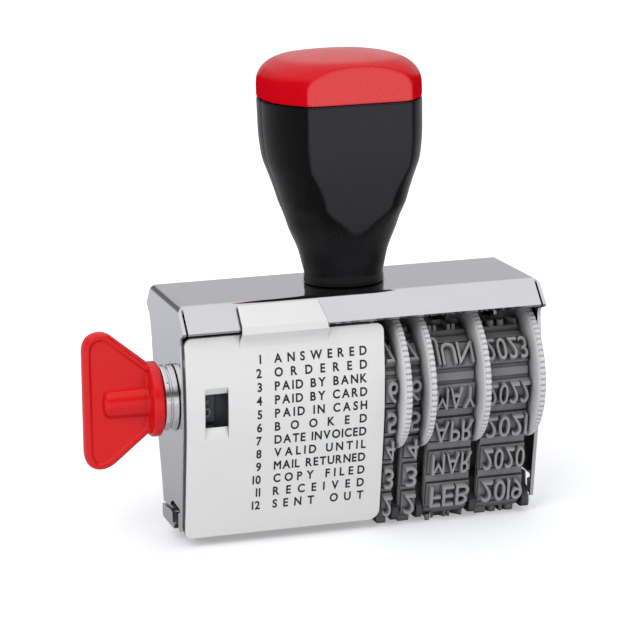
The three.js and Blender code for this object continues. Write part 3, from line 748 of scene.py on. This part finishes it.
def cover_piece():
    face = resample(COVER_FACE, 56)
    inner = [(y + COVER_THICK, z) for y, z in reversed(face)]
    cover = prism("index_plate", face + inner, -30.5, 3.08, "X")
    boolean(cover, prism("outline", cover_outline(), -20, 0, "Y"), "INTERSECT")
    boolean(cover, cover_hook(), "UNION")

    # window with a sloped head and a long sloped sill
    (x0, x1), (z0, z1) = WINDOW_X, WINDOW_Z
    boolean(cover, block("window", x0, x1, -16, -5, z0, z1))
    slopes = [
        (-15, 17.2), (-11.7, 18.3), (-11.0, z0), (-11.0, z1 - 1), (-11.7, z1),
        (-12.9, 28.6), (-15, 28.7),
    ]
    boolean(cover, prism("slopes", slopes, x0, x1 + 0.5, "X"))
    round_edges(cover, 0.24, 3, 32).miter_outer = "MITER_ARC"
    dress(cover, "chassis", "white_cover", stands_for="index_cover")


PHRASES = [
    "ANSWERED", "ORDERED", "PAID BY BANK", "PAID BY CARD", "PAID IN CASH", "BOOKED",
    "DATE INVOICED", "VALID UNTIL", "MAIL RETURNED", "COPY FILED", "RECEIVED", "SENT OUT",
]


def cover_print():
    """Numbered list of the phrases, lying on the curved face of the cover."""
    first_z, row_pitch = 32.36, 2.336
    style = dict(height=1.56, heavy=0.030, squeeze=0.86)
    number_left, phrase_left = -20.85, -15.7
    bm = bmesh.new()
    layer = bm.verts.layers.float.new("finish_and_sheen")
    for i, phrase in enumerate(PHRASES):
        base = first_z - row_pitch * i - style["height"] / 2
        for items, left in (
            (lay_word(str(i + 1), width=3.0, gap=0.22, **style), number_left),
            (lay_word(phrase, width=15.75, **style), phrase_left),
        ):
            def place(u, v, d):
                z = base + v
                return (left + u, cover_y(z) - d, z)

            for points, faces in items:
                raise_glyph(
                    bm, layer, points, faces, place, low=-0.04, high=0.012, draft=0.0, finish_and_sheen=0.0
                )
    bmesh.ops.recalc_face_normals(bm, faces=bm.faces)
    dress(mesh_from("index_print", bm), "chassis", "white_cover", "cover_print")


# ---------------------------------------------------------------- handle and cap
# A quarter of the head's plan: (x, y)
HEAD_PLAN = [
    (13.2, 0), (13.15, 3), (12.6, 6), (11.5, 9), (8.8, 12.9), (7.1, 13.8), (4.4, 14.8), (0, 15.3),
]
# Half width along X up the handle: (z, half)
HEAD_HALF = [
    (41.75, 6.75), (42.9, 6.7), (43.3, 6.6), (44.9, 6.96), (47.6, 7.63), (51.0, 9.02),
    (53.2, 9.75), (55.6, 10.67), (57.4, 11.2), (59.9, 12.02), (62.5, 12.95), (64.5, 13.3),
    (67.1, 13.54), (70.8, 13.62), (SEAM_Z, HEAD_REACH),
]
# Flat facets at front and back: (z, distance from the middle along Y)
FACET = [
    (49.0, 8.3), (51.6, 9.35), (54.0, 10.3), (58.0, 11.4), (63.0, 12.3), (68.0, 12.75),
    (74.3, 12.9),
]
PLAN = [(math.atan2(y, x), math.hypot(x, y)) for x, y in HEAD_PLAN]  # angle, radius
CAP_FOOT = SEAM_Z + 0.12
CAP_SHOULDER = 80.62
# Width of the cap as a share of HEAD_REACH: (z, share)
CAP_SHARE = [
    (CAP_FOOT, 0.975), (CAP_FOOT + 0.05, 0.988), (CAP_FOOT + 0.16, 0.998),
    (CAP_FOOT + 0.35, 1.0), (75.0, 1.0), (75.85, 0.996), (76.55, 0.985), (77.15, 0.967),
    (77.65, 0.944), (78.15, 0.912), (78.6, 0.873), (78.95, 0.835), (79.25, 0.79),
    (79.55, 0.73), (79.8, 0.66), (80.05, 0.56), (80.3, 0.42), (80.5, 0.26),
    (CAP_SHOULDER, 0.12),
]


def plan_radius(angle):
    angle = abs((angle + math.pi) % (2 * math.pi) - math.pi)
    if angle > math.pi / 2:
        angle = math.pi - angle
    return spline(PLAN, angle)


def soft_min(a, b, reach):
    overlap = max(reach - abs(a - b), 0.0) / reach
    return min(a, b) - overlap * overlap * reach * 0.25


def head_ring(z, half, square, facet, soft=0.35, count=288):
    """Ring of points and their finish_and_sheen mask, which is 1 on the flats for a painted sheen.
    square blends from a circle (0) to the head's plan (1);
    facet is the distance of the flats, whose edges are rounded over soft."""
    points, finish_and_sheen = [], []
    for i in range(count):
        angle = 2 * math.pi * i / count
        radius = half * (1 + square * (plan_radius(angle) / HEAD_REACH - 1))
        sine = abs(math.sin(angle))
        finish_and_sheen_mask = 0.0
        if facet is not None and sine > 0.2:
            limit = facet / sine
            finish_and_sheen_mask = smoothstep((radius - limit) / 0.25 + 0.5)
            radius = soft_min(radius, limit, soft)
        points.append((radius * math.cos(angle), radius * math.sin(angle), z))
        finish_and_sheen.append(finish_and_sheen_mask)
    return points, finish_and_sheen


def scaled_ring(ring, share, z):
    return [(x * share, y * share, z) for x, y, _ in ring]


def corner_drop(share, depth):
    """How far a rounded corner has drawn in at a share of its height."""
    if share <= 0:
        return 0.0
    return depth * (1 - math.sqrt(max(0.0, 1 - share**2)))


def handle_piece():
    heights = [41.75, 41.8, 41.95, 42.2, 42.6]
    z = 43.0
    while z < SEAM_Z - 0.45:
        heights.append(z)
        z += 0.42
    heights += [SEAM_Z - 0.3, SEAM_Z - 0.12, SEAM_Z - 0.03, SEAM_Z]
    rings, finish_and_sheen = [], []
    for z in heights:
        top_drop = corner_drop((0.3 - (SEAM_Z - z)) / 0.3, 0.25)
        foot_drop = corner_drop((42.2 - z) / 0.45, 0.3)
        half = spline(HEAD_HALF, z) - top_drop - foot_drop
        facet = spline(FACET, z) - top_drop if z > 49 else None
        ring, finish_and_sheen_mask = head_ring(z, half, smoothstep((z - 50) / 6), facet)
        rings.append(ring)
        # a lighter, glossier neck: painted sheen
        neck_sheen = 0.3 * (1 - smoothstep((z - 49) / 5))
        finish_and_sheen += [max(value, neck_sheen) for value in finish_and_sheen_mask]
    # hollow at the top, where the cap's plug goes in
    rim = rings[-1]
    for share, depth in ((0.95, 0.0), (0.70, 0.0), (0.70, 8.0)):
        rings.append(scaled_ring(rim, share, SEAM_Z - depth))
        finish_and_sheen += [0.0] * len(rim)
    handle = skin("handle_grip", rings)
    set_finish_and_sheen(handle, finish_and_sheen)
    sharpen(handle, 50)
    dress(handle, "chassis", "black_handle", stands_for="handle_body")


def cap_piece():
    heights = []
    z = CAP_FOOT
    while z < CAP_SHOULDER:
        heights.append(z)
        z += 0.04 if z < CAP_FOOT + 0.2 else (0.28 if z < 76.5 else 0.10)
    heights.append(CAP_SHOULDER)
    rings, finish_and_sheen = [], []
    for z in heights:
        half = HEAD_REACH * spline(CAP_SHARE, z)
        ring, finish_and_sheen_mask = head_ring(z, half, 1.0, 12.9 if z < 79.5 else None, soft=0.4)
        # the top grows lighter and glossier towards the crown: painted highlight
        top = 0.22 * smoothstep((z - 76.6) / 1.2) + 0.78 * smoothstep((z - 79.3) / 0.7)
        finish_and_sheen += [max(value, top) for value in finish_and_sheen_mask]
        rise = z - CAP_FOOT
        if rise < 0.35:
            ring = scaled_ring(ring, 1 - 0.012 * (1 - rise / 0.35) ** 2, z)
        rings.append(ring)
    count = len(rings[0])
    crown = [
        scaled_ring(rings[-1], share, z)
        for share, z in ((0.66, HANDLE_TOP - 0.01), (0.33, HANDLE_TOP))
    ]
    plug = [
        scaled_ring(rings[0], share, z)
        for share, z in ((0.62, SEAM_Z - 4.0), (0.66, SEAM_Z - 4.0), (0.66, CAP_FOOT))
    ]
    cap = skin("grip_cap", plug + rings + crown)
    # the crown is fully marked: painted highlight
    set_finish_and_sheen(cap, [0.0] * (len(plug) * count) + finish_and_sheen + [1.0] * (len(crown) * count))
    sharpen(cap, 50)
    dress(cap, "chassis", "red_cap", stands_for="handle_cap")


# ---------------------------------------------------------------- date wheels
TEETH = 76
# Depth cut from the rim at each step through one tooth
TOOTH_DROPS = (0.26, 0.08, 0.0, 0.0, 0.0, 0.0, 0.08, 0.26)
TOOTHED_FROM = 11.9  # the teeth are cut in the rim beyond this radius
WHEEL_THICK = 1.25
# Body, x of the wheel's left face, x of the left end of its hub
WHEELS = [
    ("day_tens", 5.4, 3.25), ("day_units", 9.65, 6.9), ("month", 19.1, 11.1), ("year", 28.65, 20.65),
]


def wheel_piece(body, left, hub_x):
    right = left + WHEEL_THICK
    # (x, radius): left face, rim, right face with a recess, then the hub
    profile = [
        (left, 6.4), (left, 7.5), (left, 9.0), (left, 10.2), (left, 11.0),
        (left + 0.05, 11.45), (left + 0.16, 11.72), (left + 0.30, 11.86),
        (left + 0.36, 11.98), (left + 0.42, 12.06), (left + 0.52, WHEEL_R),
        (right - 0.26, WHEEL_R), (right - 0.12, 12.05), (right - 0.03, 11.93),
        (right, 11.75), (right, 10.95), (right - 0.03, 10.8), (right - 0.3, 10.65),
        (right - 0.35, 10.5), (right - 0.35, 4.6), (right - 0.3, 4.45), (right, 4.3),
        (right, 2.1), (right - 0.1, 1.8),
        (hub_x, 1.8), (hub_x - 0.05, 1.9), (hub_x - 0.05, 5.6), (hub_x + 0.1, 5.8),
        (left - 0.25, 5.8), (left - 0.06, 5.9), (left, 6.1),
    ]
    steps = len(TOOTH_DROPS)

    def tooth(step, radius):
        return radius if radius < TOOTHED_FROM else radius - TOOTH_DROPS[step % steps]

    wheel = turned(body + "_thumb_wheel", profile, TEETH * steps, tooth)
    sharpen(wheel, 42)
    dress(wheel, body, "wheel_plastic", stands_for=body + "_wheel")


# ---------------------------------------------------------------- type bands
EDGE_R = 1.2  # rounded lower edges the bands run over
EDGE_Z = 4.2
WEB_MID = 0.85  # middle of the web, above the run


def straight_part(start, end, normal):
    def place(share, d):
        return tuple(
            start[k] + (end[k] - start[k]) * share + d * normal[k] for k in (0, 1)
        )

    return math.dist(start, end), place


def bend_part(y, z, radius, start, end):
    def place(share, d):
        angle = start + (end - start) * share
        return (y + (radius + d) * math.cos(angle), z + (radius + d) * math.sin(angle))

    return (start - end) * (radius + WEB_MID), place


class BandRun:
    """The closed run of a band round its hub and the two rounded edges of the platen.
    platen is the y of their centres. Points (y, z) are found by the way s along the run and
    the height d over it."""

    def __init__(self, hub, platen):
        rounds = [(platen[1], EDGE_Z, EDGE_R), (platen[0], EDGE_Z, EDGE_R), (*AXIS, hub)]
        pairs = list(zip(rounds, rounds[1:] + rounds[:1]))
        normals = []
        for a, b in pairs:
            dy, dz = b[0] - a[0], b[1] - a[1]
            apart = math.hypot(dy, dz)
            sine = (a[2] - b[2]) / apart
            cosine = math.sqrt(1 - sine * sine)
            along = (dy / apart, dz / apart)
            normals.append((
                cosine * -along[1] + sine * along[0],
                cosine * along[0] + sine * along[1],
            ))
        self.parts = []
        for i, (a, b) in enumerate(pairs):
            normal, following = normals[i], normals[(i + 1) % 3]
            start = (a[0] + a[2] * normal[0], a[1] + a[2] * normal[1])
            end = (b[0] + b[2] * normal[0], b[1] + b[2] * normal[1])
            self.parts.append(straight_part(start, end, normal))
            angle0 = math.atan2(normal[1], normal[0])
            angle1 = math.atan2(following[1], following[0])
            if angle1 > angle0:
                angle1 -= 2 * math.pi
            self.parts.append(bend_part(*b, angle0, angle1))
        self.length = sum(length for length, _ in self.parts)
        self.start = self.parts[0][0] / 2  # s = 0 is midway under the platen

    def at(self, s, d):
        rest = (s + self.start) % self.length
        for length, place in self.parts:
            if rest <= length + 1e-9:
                return place(rest / length, d)
            rest -= length

    def stiff_frame(self, s):
        """Origin on the run, tangent (towards larger s) and outward normal of a stiff pad."""
        origin = self.at(s, 0.0)
        a, b = self.at(s - 0.4, WEB_MID), self.at(s + 0.4, WEB_MID)
        length = math.dist(a, b)
        tangent = ((b[0] - a[0]) / length, (b[1] - a[1]) / length)
        above = self.at(s, 1.0)
        normal = (-tangent[1], tangent[0])
        if normal[0] * (above[0] - origin[0]) + normal[1] * (above[1] - origin[1]) < 0:
            normal = (-normal[0], -normal[1])
        middle = tuple((a[k] + b[k]) / 2 - WEB_MID * normal[k] for k in (0, 1))
        return middle, tangent, normal

    def pad_place(self, s):
        """place(x, v, d) for points on a stiff pad centred at s, v along the tangent."""
        origin, tangent, normal = self.stiff_frame(s)

        def place(x, v, d):
            return (x, *(origin[k] + tangent[k] * v + normal[k] * d for k in (0, 1)))

        return place


def pad_box(bm, layer, run, s, x_span, half, high, chamfer, finish_and_sheen):
    """A low block with chamfered upper edges. half is its half length along the run."""
    place = run.pad_place(s)
    (x0, x1), c = x_span, chamfer
    loops = []
    # the mask rises from the foot to the top face, so each pad is lighter towards its top
    for a0, a1, reach, d, value in (
        (x0, x1, half, 0.9, 0.0),
        (x0, x1, half, high - c, 0.12),
        (x0 + c, x1 - c, half - c, high, finish_and_sheen),
    ):
        corners = ((a0, -reach), (a1, -reach), (a1, reach), (a0, reach))
        loop = [bm.verts.new(Vector(place(x, v, d)) * MM) for x, v in corners]
        for v in loop:
            v[layer] = value
        loops.append(loop)
    bm.faces.new(loops[0][::-1])
    bm.faces.new(loops[-1])
    for a, b in zip(loops, loops[1:]):
        for i in range(4):
            j = (i + 1) % 4
            bm.faces.new([a[i], a[j], b[j], b[i]])


def raise_word(bm, layer, run, s, word, left, width, height, gap, low, high, draft,
               heavy=0.0, turn=1):
    """Raised word on a pad. turn = -1 sets it upside down, so that it reads reversed."""
    pad_place = run.pad_place(s)

    def place(u, v, d):
        return pad_place(left + u, turn * (v - height / 2), d)

    for points, faces in lay_word(word, width, height, heavy, gap):
        raise_glyph(bm, layer, points, faces, place, low, high, draft, finish_and_sheen=1.0)


def add_web(bm, layer, run, x0, x1, count=220):
    """The plain belt under the pads."""
    section = (
        (x0, 0.36), (x0, 1.28), (x0 + 0.1, 1.38), (x1 - 0.1, 1.38),
        (x1, 1.28), (x1, 0.36), (x1 - 0.06, 0.3), (x0 + 0.06, 0.3),
    )
    rings = []
    for i in range(count):
        s = run.length * i / count
        ring = [bm.verts.new(Vector((x, *run.at(s, d))) * MM) for x, d in section]
        for v in ring:
            v[layer] = 0.02
        rings.append(ring)
    for a, b in zip(rings, rings[1:] + rings[:1]):
        for k in range(8):
            j = (k + 1) % 8
            bm.faces.new([a[k], a[j], b[j], b[k]])


def band_piece(key, run, labels, web_x, pad_x, type_x, height, pad_half, bar_half,
               bottom_row=0, gap=0.34, material="band_rubber", extra=None):
    """A band with a pad of type for each label; labels[bottom_row] is under the platen."""
    bm = bmesh.new()
    layer = bm.verts.layers.float.new("finish_and_sheen")
    add_web(bm, layer, run, *web_x)
    pitch = run.length / len(labels)
    for k, label in enumerate(labels):
        s = (k - bottom_row) * pitch
        pad_box(bm, layer, run, s, pad_x, pad_half, high=2.0, chamfer=0.14, finish_and_sheen=0.175)
        if label:
            raise_word(
                bm, layer, run, s, label, type_x[0], type_x[1] - type_x[0], height, gap,
                low=1.9, high=3.0, draft=0.09, turn=-1,
            )
        # plain bar between this row and the next
        bar_x = (pad_x[0] - 0.25, pad_x[1])
        pad_box(
            bm, layer, run, s + pitch * 0.5, bar_x, bar_half, high=1.65, chamfer=0.1, finish_and_sheen=0.05
        )
    if extra:
        extra(bm, layer)
    bmesh.ops.recalc_face_normals(bm, faces=bm.faces)
    band = mesh_from(key + "_type", bm)
    sharpen(band, 28)
    dress(band, "chassis", "band_rubber", material, stands_for=key + "_band")


def phrase_numbers(bm, layer):
    """Row numbers on the left margin of the phrase band, to be read in the cover's window."""
    pitch = PHRASE_RUN.length / len(PHRASES)
    for k in range(len(PHRASES)):
        s = PHRASE_WINDOW_S + (k - PHRASE_ROW) * pitch
        label = str(k + 1)
        pad_box(
            bm, layer, PHRASE_RUN, s, (-28.1, -25.35), 2.5, high=2.05, chamfer=0.1, finish_and_sheen=0.0
        )
        width = 1.7 if len(label) == 1 else 2.5
        raise_word(
            bm, layer, PHRASE_RUN, s, label, -26.9 - width / 2 + 0.1, width, height=3.2,
            gap=0.25, low=2.0, high=2.3, draft=0.03, heavy=0.004,
        )


DATE_RUN = BandRun(hub=5.8, platen=(-3.9, -0.3))
PHRASE_RUN = BandRun(hub=3.5, platen=(-2.0, 2.8))
PHRASE_ROW = 5  # index of the phrase under the platen
PHRASE_WINDOW_S = 26.6  # its number's place along the run
DAY_SIGNS = list("123456789-/.") + ["", "0"]
MONTHS = "JAN FEB MAR APR MAY JUN JUL AUG SEP OCT NOV DEC".split()
YEARS = [str(2018 + k) for k in range(12)]


def bands():
    day = dict(height=3.6, pad_half=2.0, bar_half=0.36)
    word = dict(height=3.75, pad_half=2.08, bar_half=0.72)
    # key, labels, x spans of web, pads and type, sizes
    for key, labels, web_x, pad_x, type_x, sizes in (
        ("day_tens", DAY_SIGNS, (3.25, 5.3), (3.4, 5.25), (3.6, 5.1), day),
        ("day_units", DAY_SIGNS, (6.55, 9.5), (7.05, 9.45), (7.3, 9.2), day),
        ("month", MONTHS, (11.05, 18.95), (11.45, 18.9), (11.85, 18.7), word),
        ("year", YEARS, (20.5, 28.45), (20.75, 28.4), (21.0, 28.25), word),
    ):
        band_piece(key, DATE_RUN, labels, web_x, pad_x, type_x, **sizes)
    band_piece(
        "phrase", PHRASE_RUN, PHRASES, web_x=(-28.2, 1.4), pad_x=(-22.4, 1.1),
        type_x=(-21.9, 0.6), height=3.6, pad_half=2.0, bar_half=0.42, bottom_row=PHRASE_ROW,
        gap=0.35, material="phrase_rubber_shaded", extra=phrase_numbers,
    )


# ---------------------------------------------------------------- bush and wing knob
def bush_piece():
    def flange(x0, x1, radius, corner):
        """A disc's edge with rounded corners."""
        turns = [i * math.pi / 8 for i in range(5)]
        base = radius - corner
        left = [
            (x0 + corner - corner * math.cos(t), base + corner * math.sin(t)) for t in turns
        ]
        flat = [(x0 + corner + 0.03, radius), (x1 - corner - 0.03, radius)]
        right = [
            (x1 - corner + corner * math.sin(t), base + corner * math.cos(t)) for t in turns
        ]
        return left + flat + right

    profile = (
        [(-33.4, 3.55)]
        + flange(-33.4, -32.32, 5.5, 0.28)
        + [(-32.3, 5.0), (-32.12, 5.0)]
        + flange(-32.1, -31.05, 5.5, 0.2)
        + [(-31.05, 3.8), (-28.9, 3.8), (-28.9, 3.5), (-33.3, 3.5)]
    )
    bush = turned("bush_turned", profile, 120)
    sharpen(bush, 40)
    dress(bush, "chassis", "plated_bush", stands_for="knob_bush")


def wing_outline(inset, steps=10):
    """The wing seen from the front, drawn in by inset: (x, z)."""
    points = [(-34.6, 20.6), (-41.3, 15.2)]

    def curve_to(control, end):
        start = points[-1]
        for i in range(1, steps + 1):
            t = i / steps
            points.append(tuple(
                (1 - t) ** 2 * start[k] + 2 * t * (1 - t) * control[k] + t * t * end[k]
                for k in (0, 1)
            ))

    curve_to((-42.4, 14.45), (-43.6, 14.4))
    curve_to((-46.2, 14.5), (-46.35, 17.6))
    points.append((-46.05, 34.4))
    curve_to((-45.8, 37.4), (-42.9, 37.5))
    curve_to((-41.7, 37.45), (-40.7, 36.5))
    points.append((-34.6, 31.2))

    out = []
    for i, (x, z) in enumerate(points):
        before, after = points[i - 1], points[(i + 1) % len(points)]
        dx0, dz0 = x - before[0], z - before[1]
        dx1, dz1 = after[0] - x, after[1] - z
        length0, length1 = math.hypot(dx0, dz0), math.hypot(dx1, dz1)
        nx = dz0 / length0 + dz1 / length1
        nz = -(dx0 / length0 + dx1 / length1)
        length = math.hypot(nx, nz)
        out.append((x + inset * nx / length, z + inset * nz / length))
    return out


def wing_border():
    """Rounded border swept along the wing's outline."""
    half_width, half_thick, sides = 0.82, 1.5, 14
    path = wing_outline(half_width)
    rings = []
    for i, (x, z) in enumerate(path):
        before, after = path[max(0, i - 1)], path[min(len(path) - 1, i + 1)]
        dx, dz = after[0] - before[0], after[1] - before[1]
        length = math.hypot(dx, dz)
        nx, nz = dz / length, -dx / length
        ring = []
        for k in range(sides):
            angle = 2 * math.pi * k / sides
            out = half_width * math.cos(angle)
            ring.append((x + out * nx, AXIS[0] + half_thick * math.sin(angle), z + out * nz))
        rings.append(ring)
    return skin("border", rings)


def knob_piece():
    web = prism("knob_wing", wing_outline(0.5), AXIS[0] - 1.0, AXIS[0] + 1.0, "Y")
    border = wing_border()
    # (x, radius) of the round rib and of the collar
    rib = turned("rib", [
        (-43.0, 0.05), (-43.0, 1.4), (-42.85, 2.05), (-42.5, 2.45), (-41.9, 2.65),
        (-34.5, 2.75), (-34.3, 2.75), (-34.3, 0.05),
    ], 48)
    collar = turned("collar", [
        (-35.4, 0.05), (-35.4, 5.75), (-35.34, 6.05), (-35.15, 6.22), (-34.8, 6.25),
        (-34.1, 6.25), (-33.8, 6.2), (-33.63, 6.0), (-33.6, 5.8), (-33.6, 0.05),
    ], 72)
    knob = join("wing_knob", [web, border, rib, collar])
    fuse = knob.modifiers.new("fuse", "REMESH")
    fuse.mode = "VOXEL"
    fuse.voxel_size = 0.13 * MM
    fuse.use_smooth_shade = True
    soften = knob.modifiers.new("soften", "SMOOTH")
    soften.factor = 0.5
    soften.iterations = 6
    apply_modifiers(knob)
    # counterbore for the stem
    boolean(knob, prism("counterbore", circle(*AXIS, 3.2, 48), -35.0, -33.0, "X"))
    sharpen(knob, 40)
    dress(knob, "phrase_setting", "red_knob", stands_for="setting_knob")


# ---------------------------------------------------------------- pieces kept from the CAD
# Node, material, width of its edge bevel
KEPT_NODES = [
    ("divider_plate", "plain_steel", 0.08),
    ("platen_bar", "platen_grey", 0.12),
    ("handle_screw", "plain_steel", 0.08),
    ("handle_washer", "plain_steel", 0.06),
    ("main_axle", "plain_steel", 0.06),
    ("axle_washer", "plain_steel", 0.06),
    ("bush_nut", "plain_steel", 0.1),
    ("knob_stem", "plain_steel", 0.06),
    ("stem_clip", "plain_steel", 0.05),
    ("phrase_drum", "dark_drum", 0.06),
]


def finish_node(name, material, width):
    obj = frame["nodes"][name]
    obj.data.materials.clear()
    obj.data.materials.append(MATERIALS[material])
    weld = obj.modifiers.new("weld", "WELD")
    weld.merge_threshold = 0.000002
    round_edges(obj, width, 2, 30)


for kept in KEPT_NODES:
    finish_node(*kept)
chassis_piece()
cover_piece()
cover_print()
handle_piece()
cap_piece()
for wheel_row in WHEELS:
    wheel_piece(*wheel_row)
bands()
bush_piece()
knob_piece()


# ---------------------------------------------------------------- stage, in metres
FLOOR_HALF = 6.0
FLOOR_CELLS = 24
FLOOR_Z = -0.00002
# Glow of the floor seen by the camera, near the stamp and far from it
FLOOR_LIFT = (0.33, 0.66)
# Brightness of the floor as mirrored in the stamp, near and far
FLOOR_CARD = (0.64, 0.95)
# Sky levels: (upward part of the direction, brightness)
WORLD_FRONT = (
    (0.0, 0.75), (0.16, 0.62), (0.26, 0.16), (0.46, 0.10), (0.62, 0.45), (0.80, 0.87), (1.0, 0.90),
)
WORLD_BACK = (
    (0.0, 0.66), (0.12, 0.58), (0.24, 0.52), (0.40, 0.55), (0.62, 0.75), (0.80, 0.86), (1.0, 0.90),
)


def floor_material():
    material, tree, surface = new_material("paper_floor")
    path = add_node(tree, "LightPath").outputs
    place = add_node(tree, "TexCoord").outputs["Object"]
    far = vector_math(tree, "LENGTH", {0: place}, "Value")
    lift = map_range(tree, far, (0.035, 0.12), FLOOR_LIFT)
    glow = math_node(tree, "MULTIPLY", lift, path["Is Camera Ray"])
    # a grey card round the stamp, seen only by mirror rays
    card = map_range(tree, far, (0.03, 0.24), FLOOR_CARD)
    level = mix(tree, path["Is Glossy Ray"], 1.0, card, data_type="FLOAT")
    tone = vector_math(tree, "SCALE", {0: (0.80, 0.81, 0.835), "Scale": level})
    feed(tree, surface, {
        "Roughness": 0.7,
        "Specular IOR Level": 0.15,
        "Emission Color": (1, 1, 1, 1),
        "Emission Strength": glow,
        "Base Color": tone,
    })
    return material


def floor():
    n, row = FLOOR_CELLS, FLOOR_CELLS + 1
    steps = [-FLOOR_HALF + 2 * FLOOR_HALF * i / n for i in range(row)]
    points = [(x, y, FLOOR_Z) for y in steps for x in steps]
    faces = [
        (j * row + i, j * row + i + 1, (j + 1) * row + i + 1, (j + 1) * row + i)
        for j in range(n) for i in range(n)
    ]
    obj = mesh_object("floor", points, faces, scale=1.0)
    obj.data.materials.append(floor_material())


def sky_ramp(tree, upward, stops):
    """Brightness by height; the stops at 0 and 1 are the ramp's own end elements."""
    ramp = add_node(tree, "ValToRGB", {"Fac": upward})
    elements = ramp.color_ramp.elements
    for place, level in stops:
        ends = {0.0: elements[0], 1.0: elements[-1]}
        element = ends[place] if place in ends else elements.new(place)
        element.color = (level, level, level * 1.02, 1)
    return ramp.outputs["Color"]


def world():
    """Soft tent: bright overhead, mid grey low at the back, dark gap above the camera side."""
    studio = bpy.data.worlds.new("studio")
    scene.world = studio
    studio.use_nodes = True
    tree = studio.node_tree
    direction = add_node(tree, "TexCoord").outputs["Generated"]
    parts = add_node(tree, "SeparateXYZ", {"Vector": direction}).outputs
    front = sky_ramp(tree, parts["Z"], WORLD_FRONT)
    back = sky_ramp(tree, parts["Z"], WORLD_BACK)
    backward = map_range(tree, parts["Y"], (-0.25, 0.55), interpolation_type="SMOOTHSTEP")
    tent = mix(tree, backward, front, back)
    # dark flag low at the back left
    flag_way = Vector((-0.30, 0.94, 0.12)).normalized()
    toward = vector_math(tree, "DOT_PRODUCT", {0: direction, 1: flag_way}, "Value")
    flag = map_range(
        tree, toward, (0.960, 0.985), (1.0, 0.30), interpolation_type="SMOOTHSTEP"
    )
    light = vector_math(tree, "SCALE", {0: tent, "Scale": flag})
    # the camera sees plain white
    path = add_node(tree, "LightPath").outputs
    color = mix(tree, path["Is Camera Ray"], light, (1, 1, 1, 1))
    feed(tree, tree.nodes["Background"], {"Color": color, "Strength": 1.0})


def softbox(name, place, watts, mirrored=True):
    """Square area light aimed at the lower part of the stamp."""
    light = bpy.data.lights.new(name, "AREA")
    light.energy = watts
    light.size = 0.50
    obj = bpy.data.objects.new(name, light)
    scene.collection.objects.link(obj)
    obj.location = place
    aim = Vector((0, 0, 0.03)) - Vector(place)
    obj.rotation_euler = aim.to_track_quat("-Z", "Y").to_euler()
    if not mirrored:
        obj.visible_glossy = False


def add_camera():
    lens = bpy.data.cameras.new("camera")
    lens.sensor_width = 36.0
    lens.lens = 152.0825625
    lens.shift_y = 0.00446875
    lens.clip_start = 0.01
    lens.clip_end = 10.0
    camera = bpy.data.objects.new("camera", lens)
    scene.collection.objects.link(camera)
    right = (0.96304387, -0.26784355, -0.02839589, 0)
    up = (0.08202792, 0.19123918, 0.97810991, 0)
    backward = (-0.25655003, -0.94429201, 0.20614237, 0)
    position = (-0.12084357, -0.42901410, 0.12981554, 1)
    camera.matrix_world = Matrix((right, up, backward, position)).transposed()
    scene.camera = camera


floor()
world()
# the stamp mirrors only the weaker of the two left lights, so that its plating keeps its tone
KEY_PLACE = (-0.46, -0.52, 0.56)
softbox("key_left", KEY_PLACE, watts=2.6, mirrored=False)
softbox("key_soft", KEY_PLACE, watts=1.0)
softbox("fill_front", (0.42, -0.78, 0.42), watts=1.6, mirrored=False)
add_camera()
scene.view_settings.view_transform = "Standard"
scene.view_settings.look = "None"
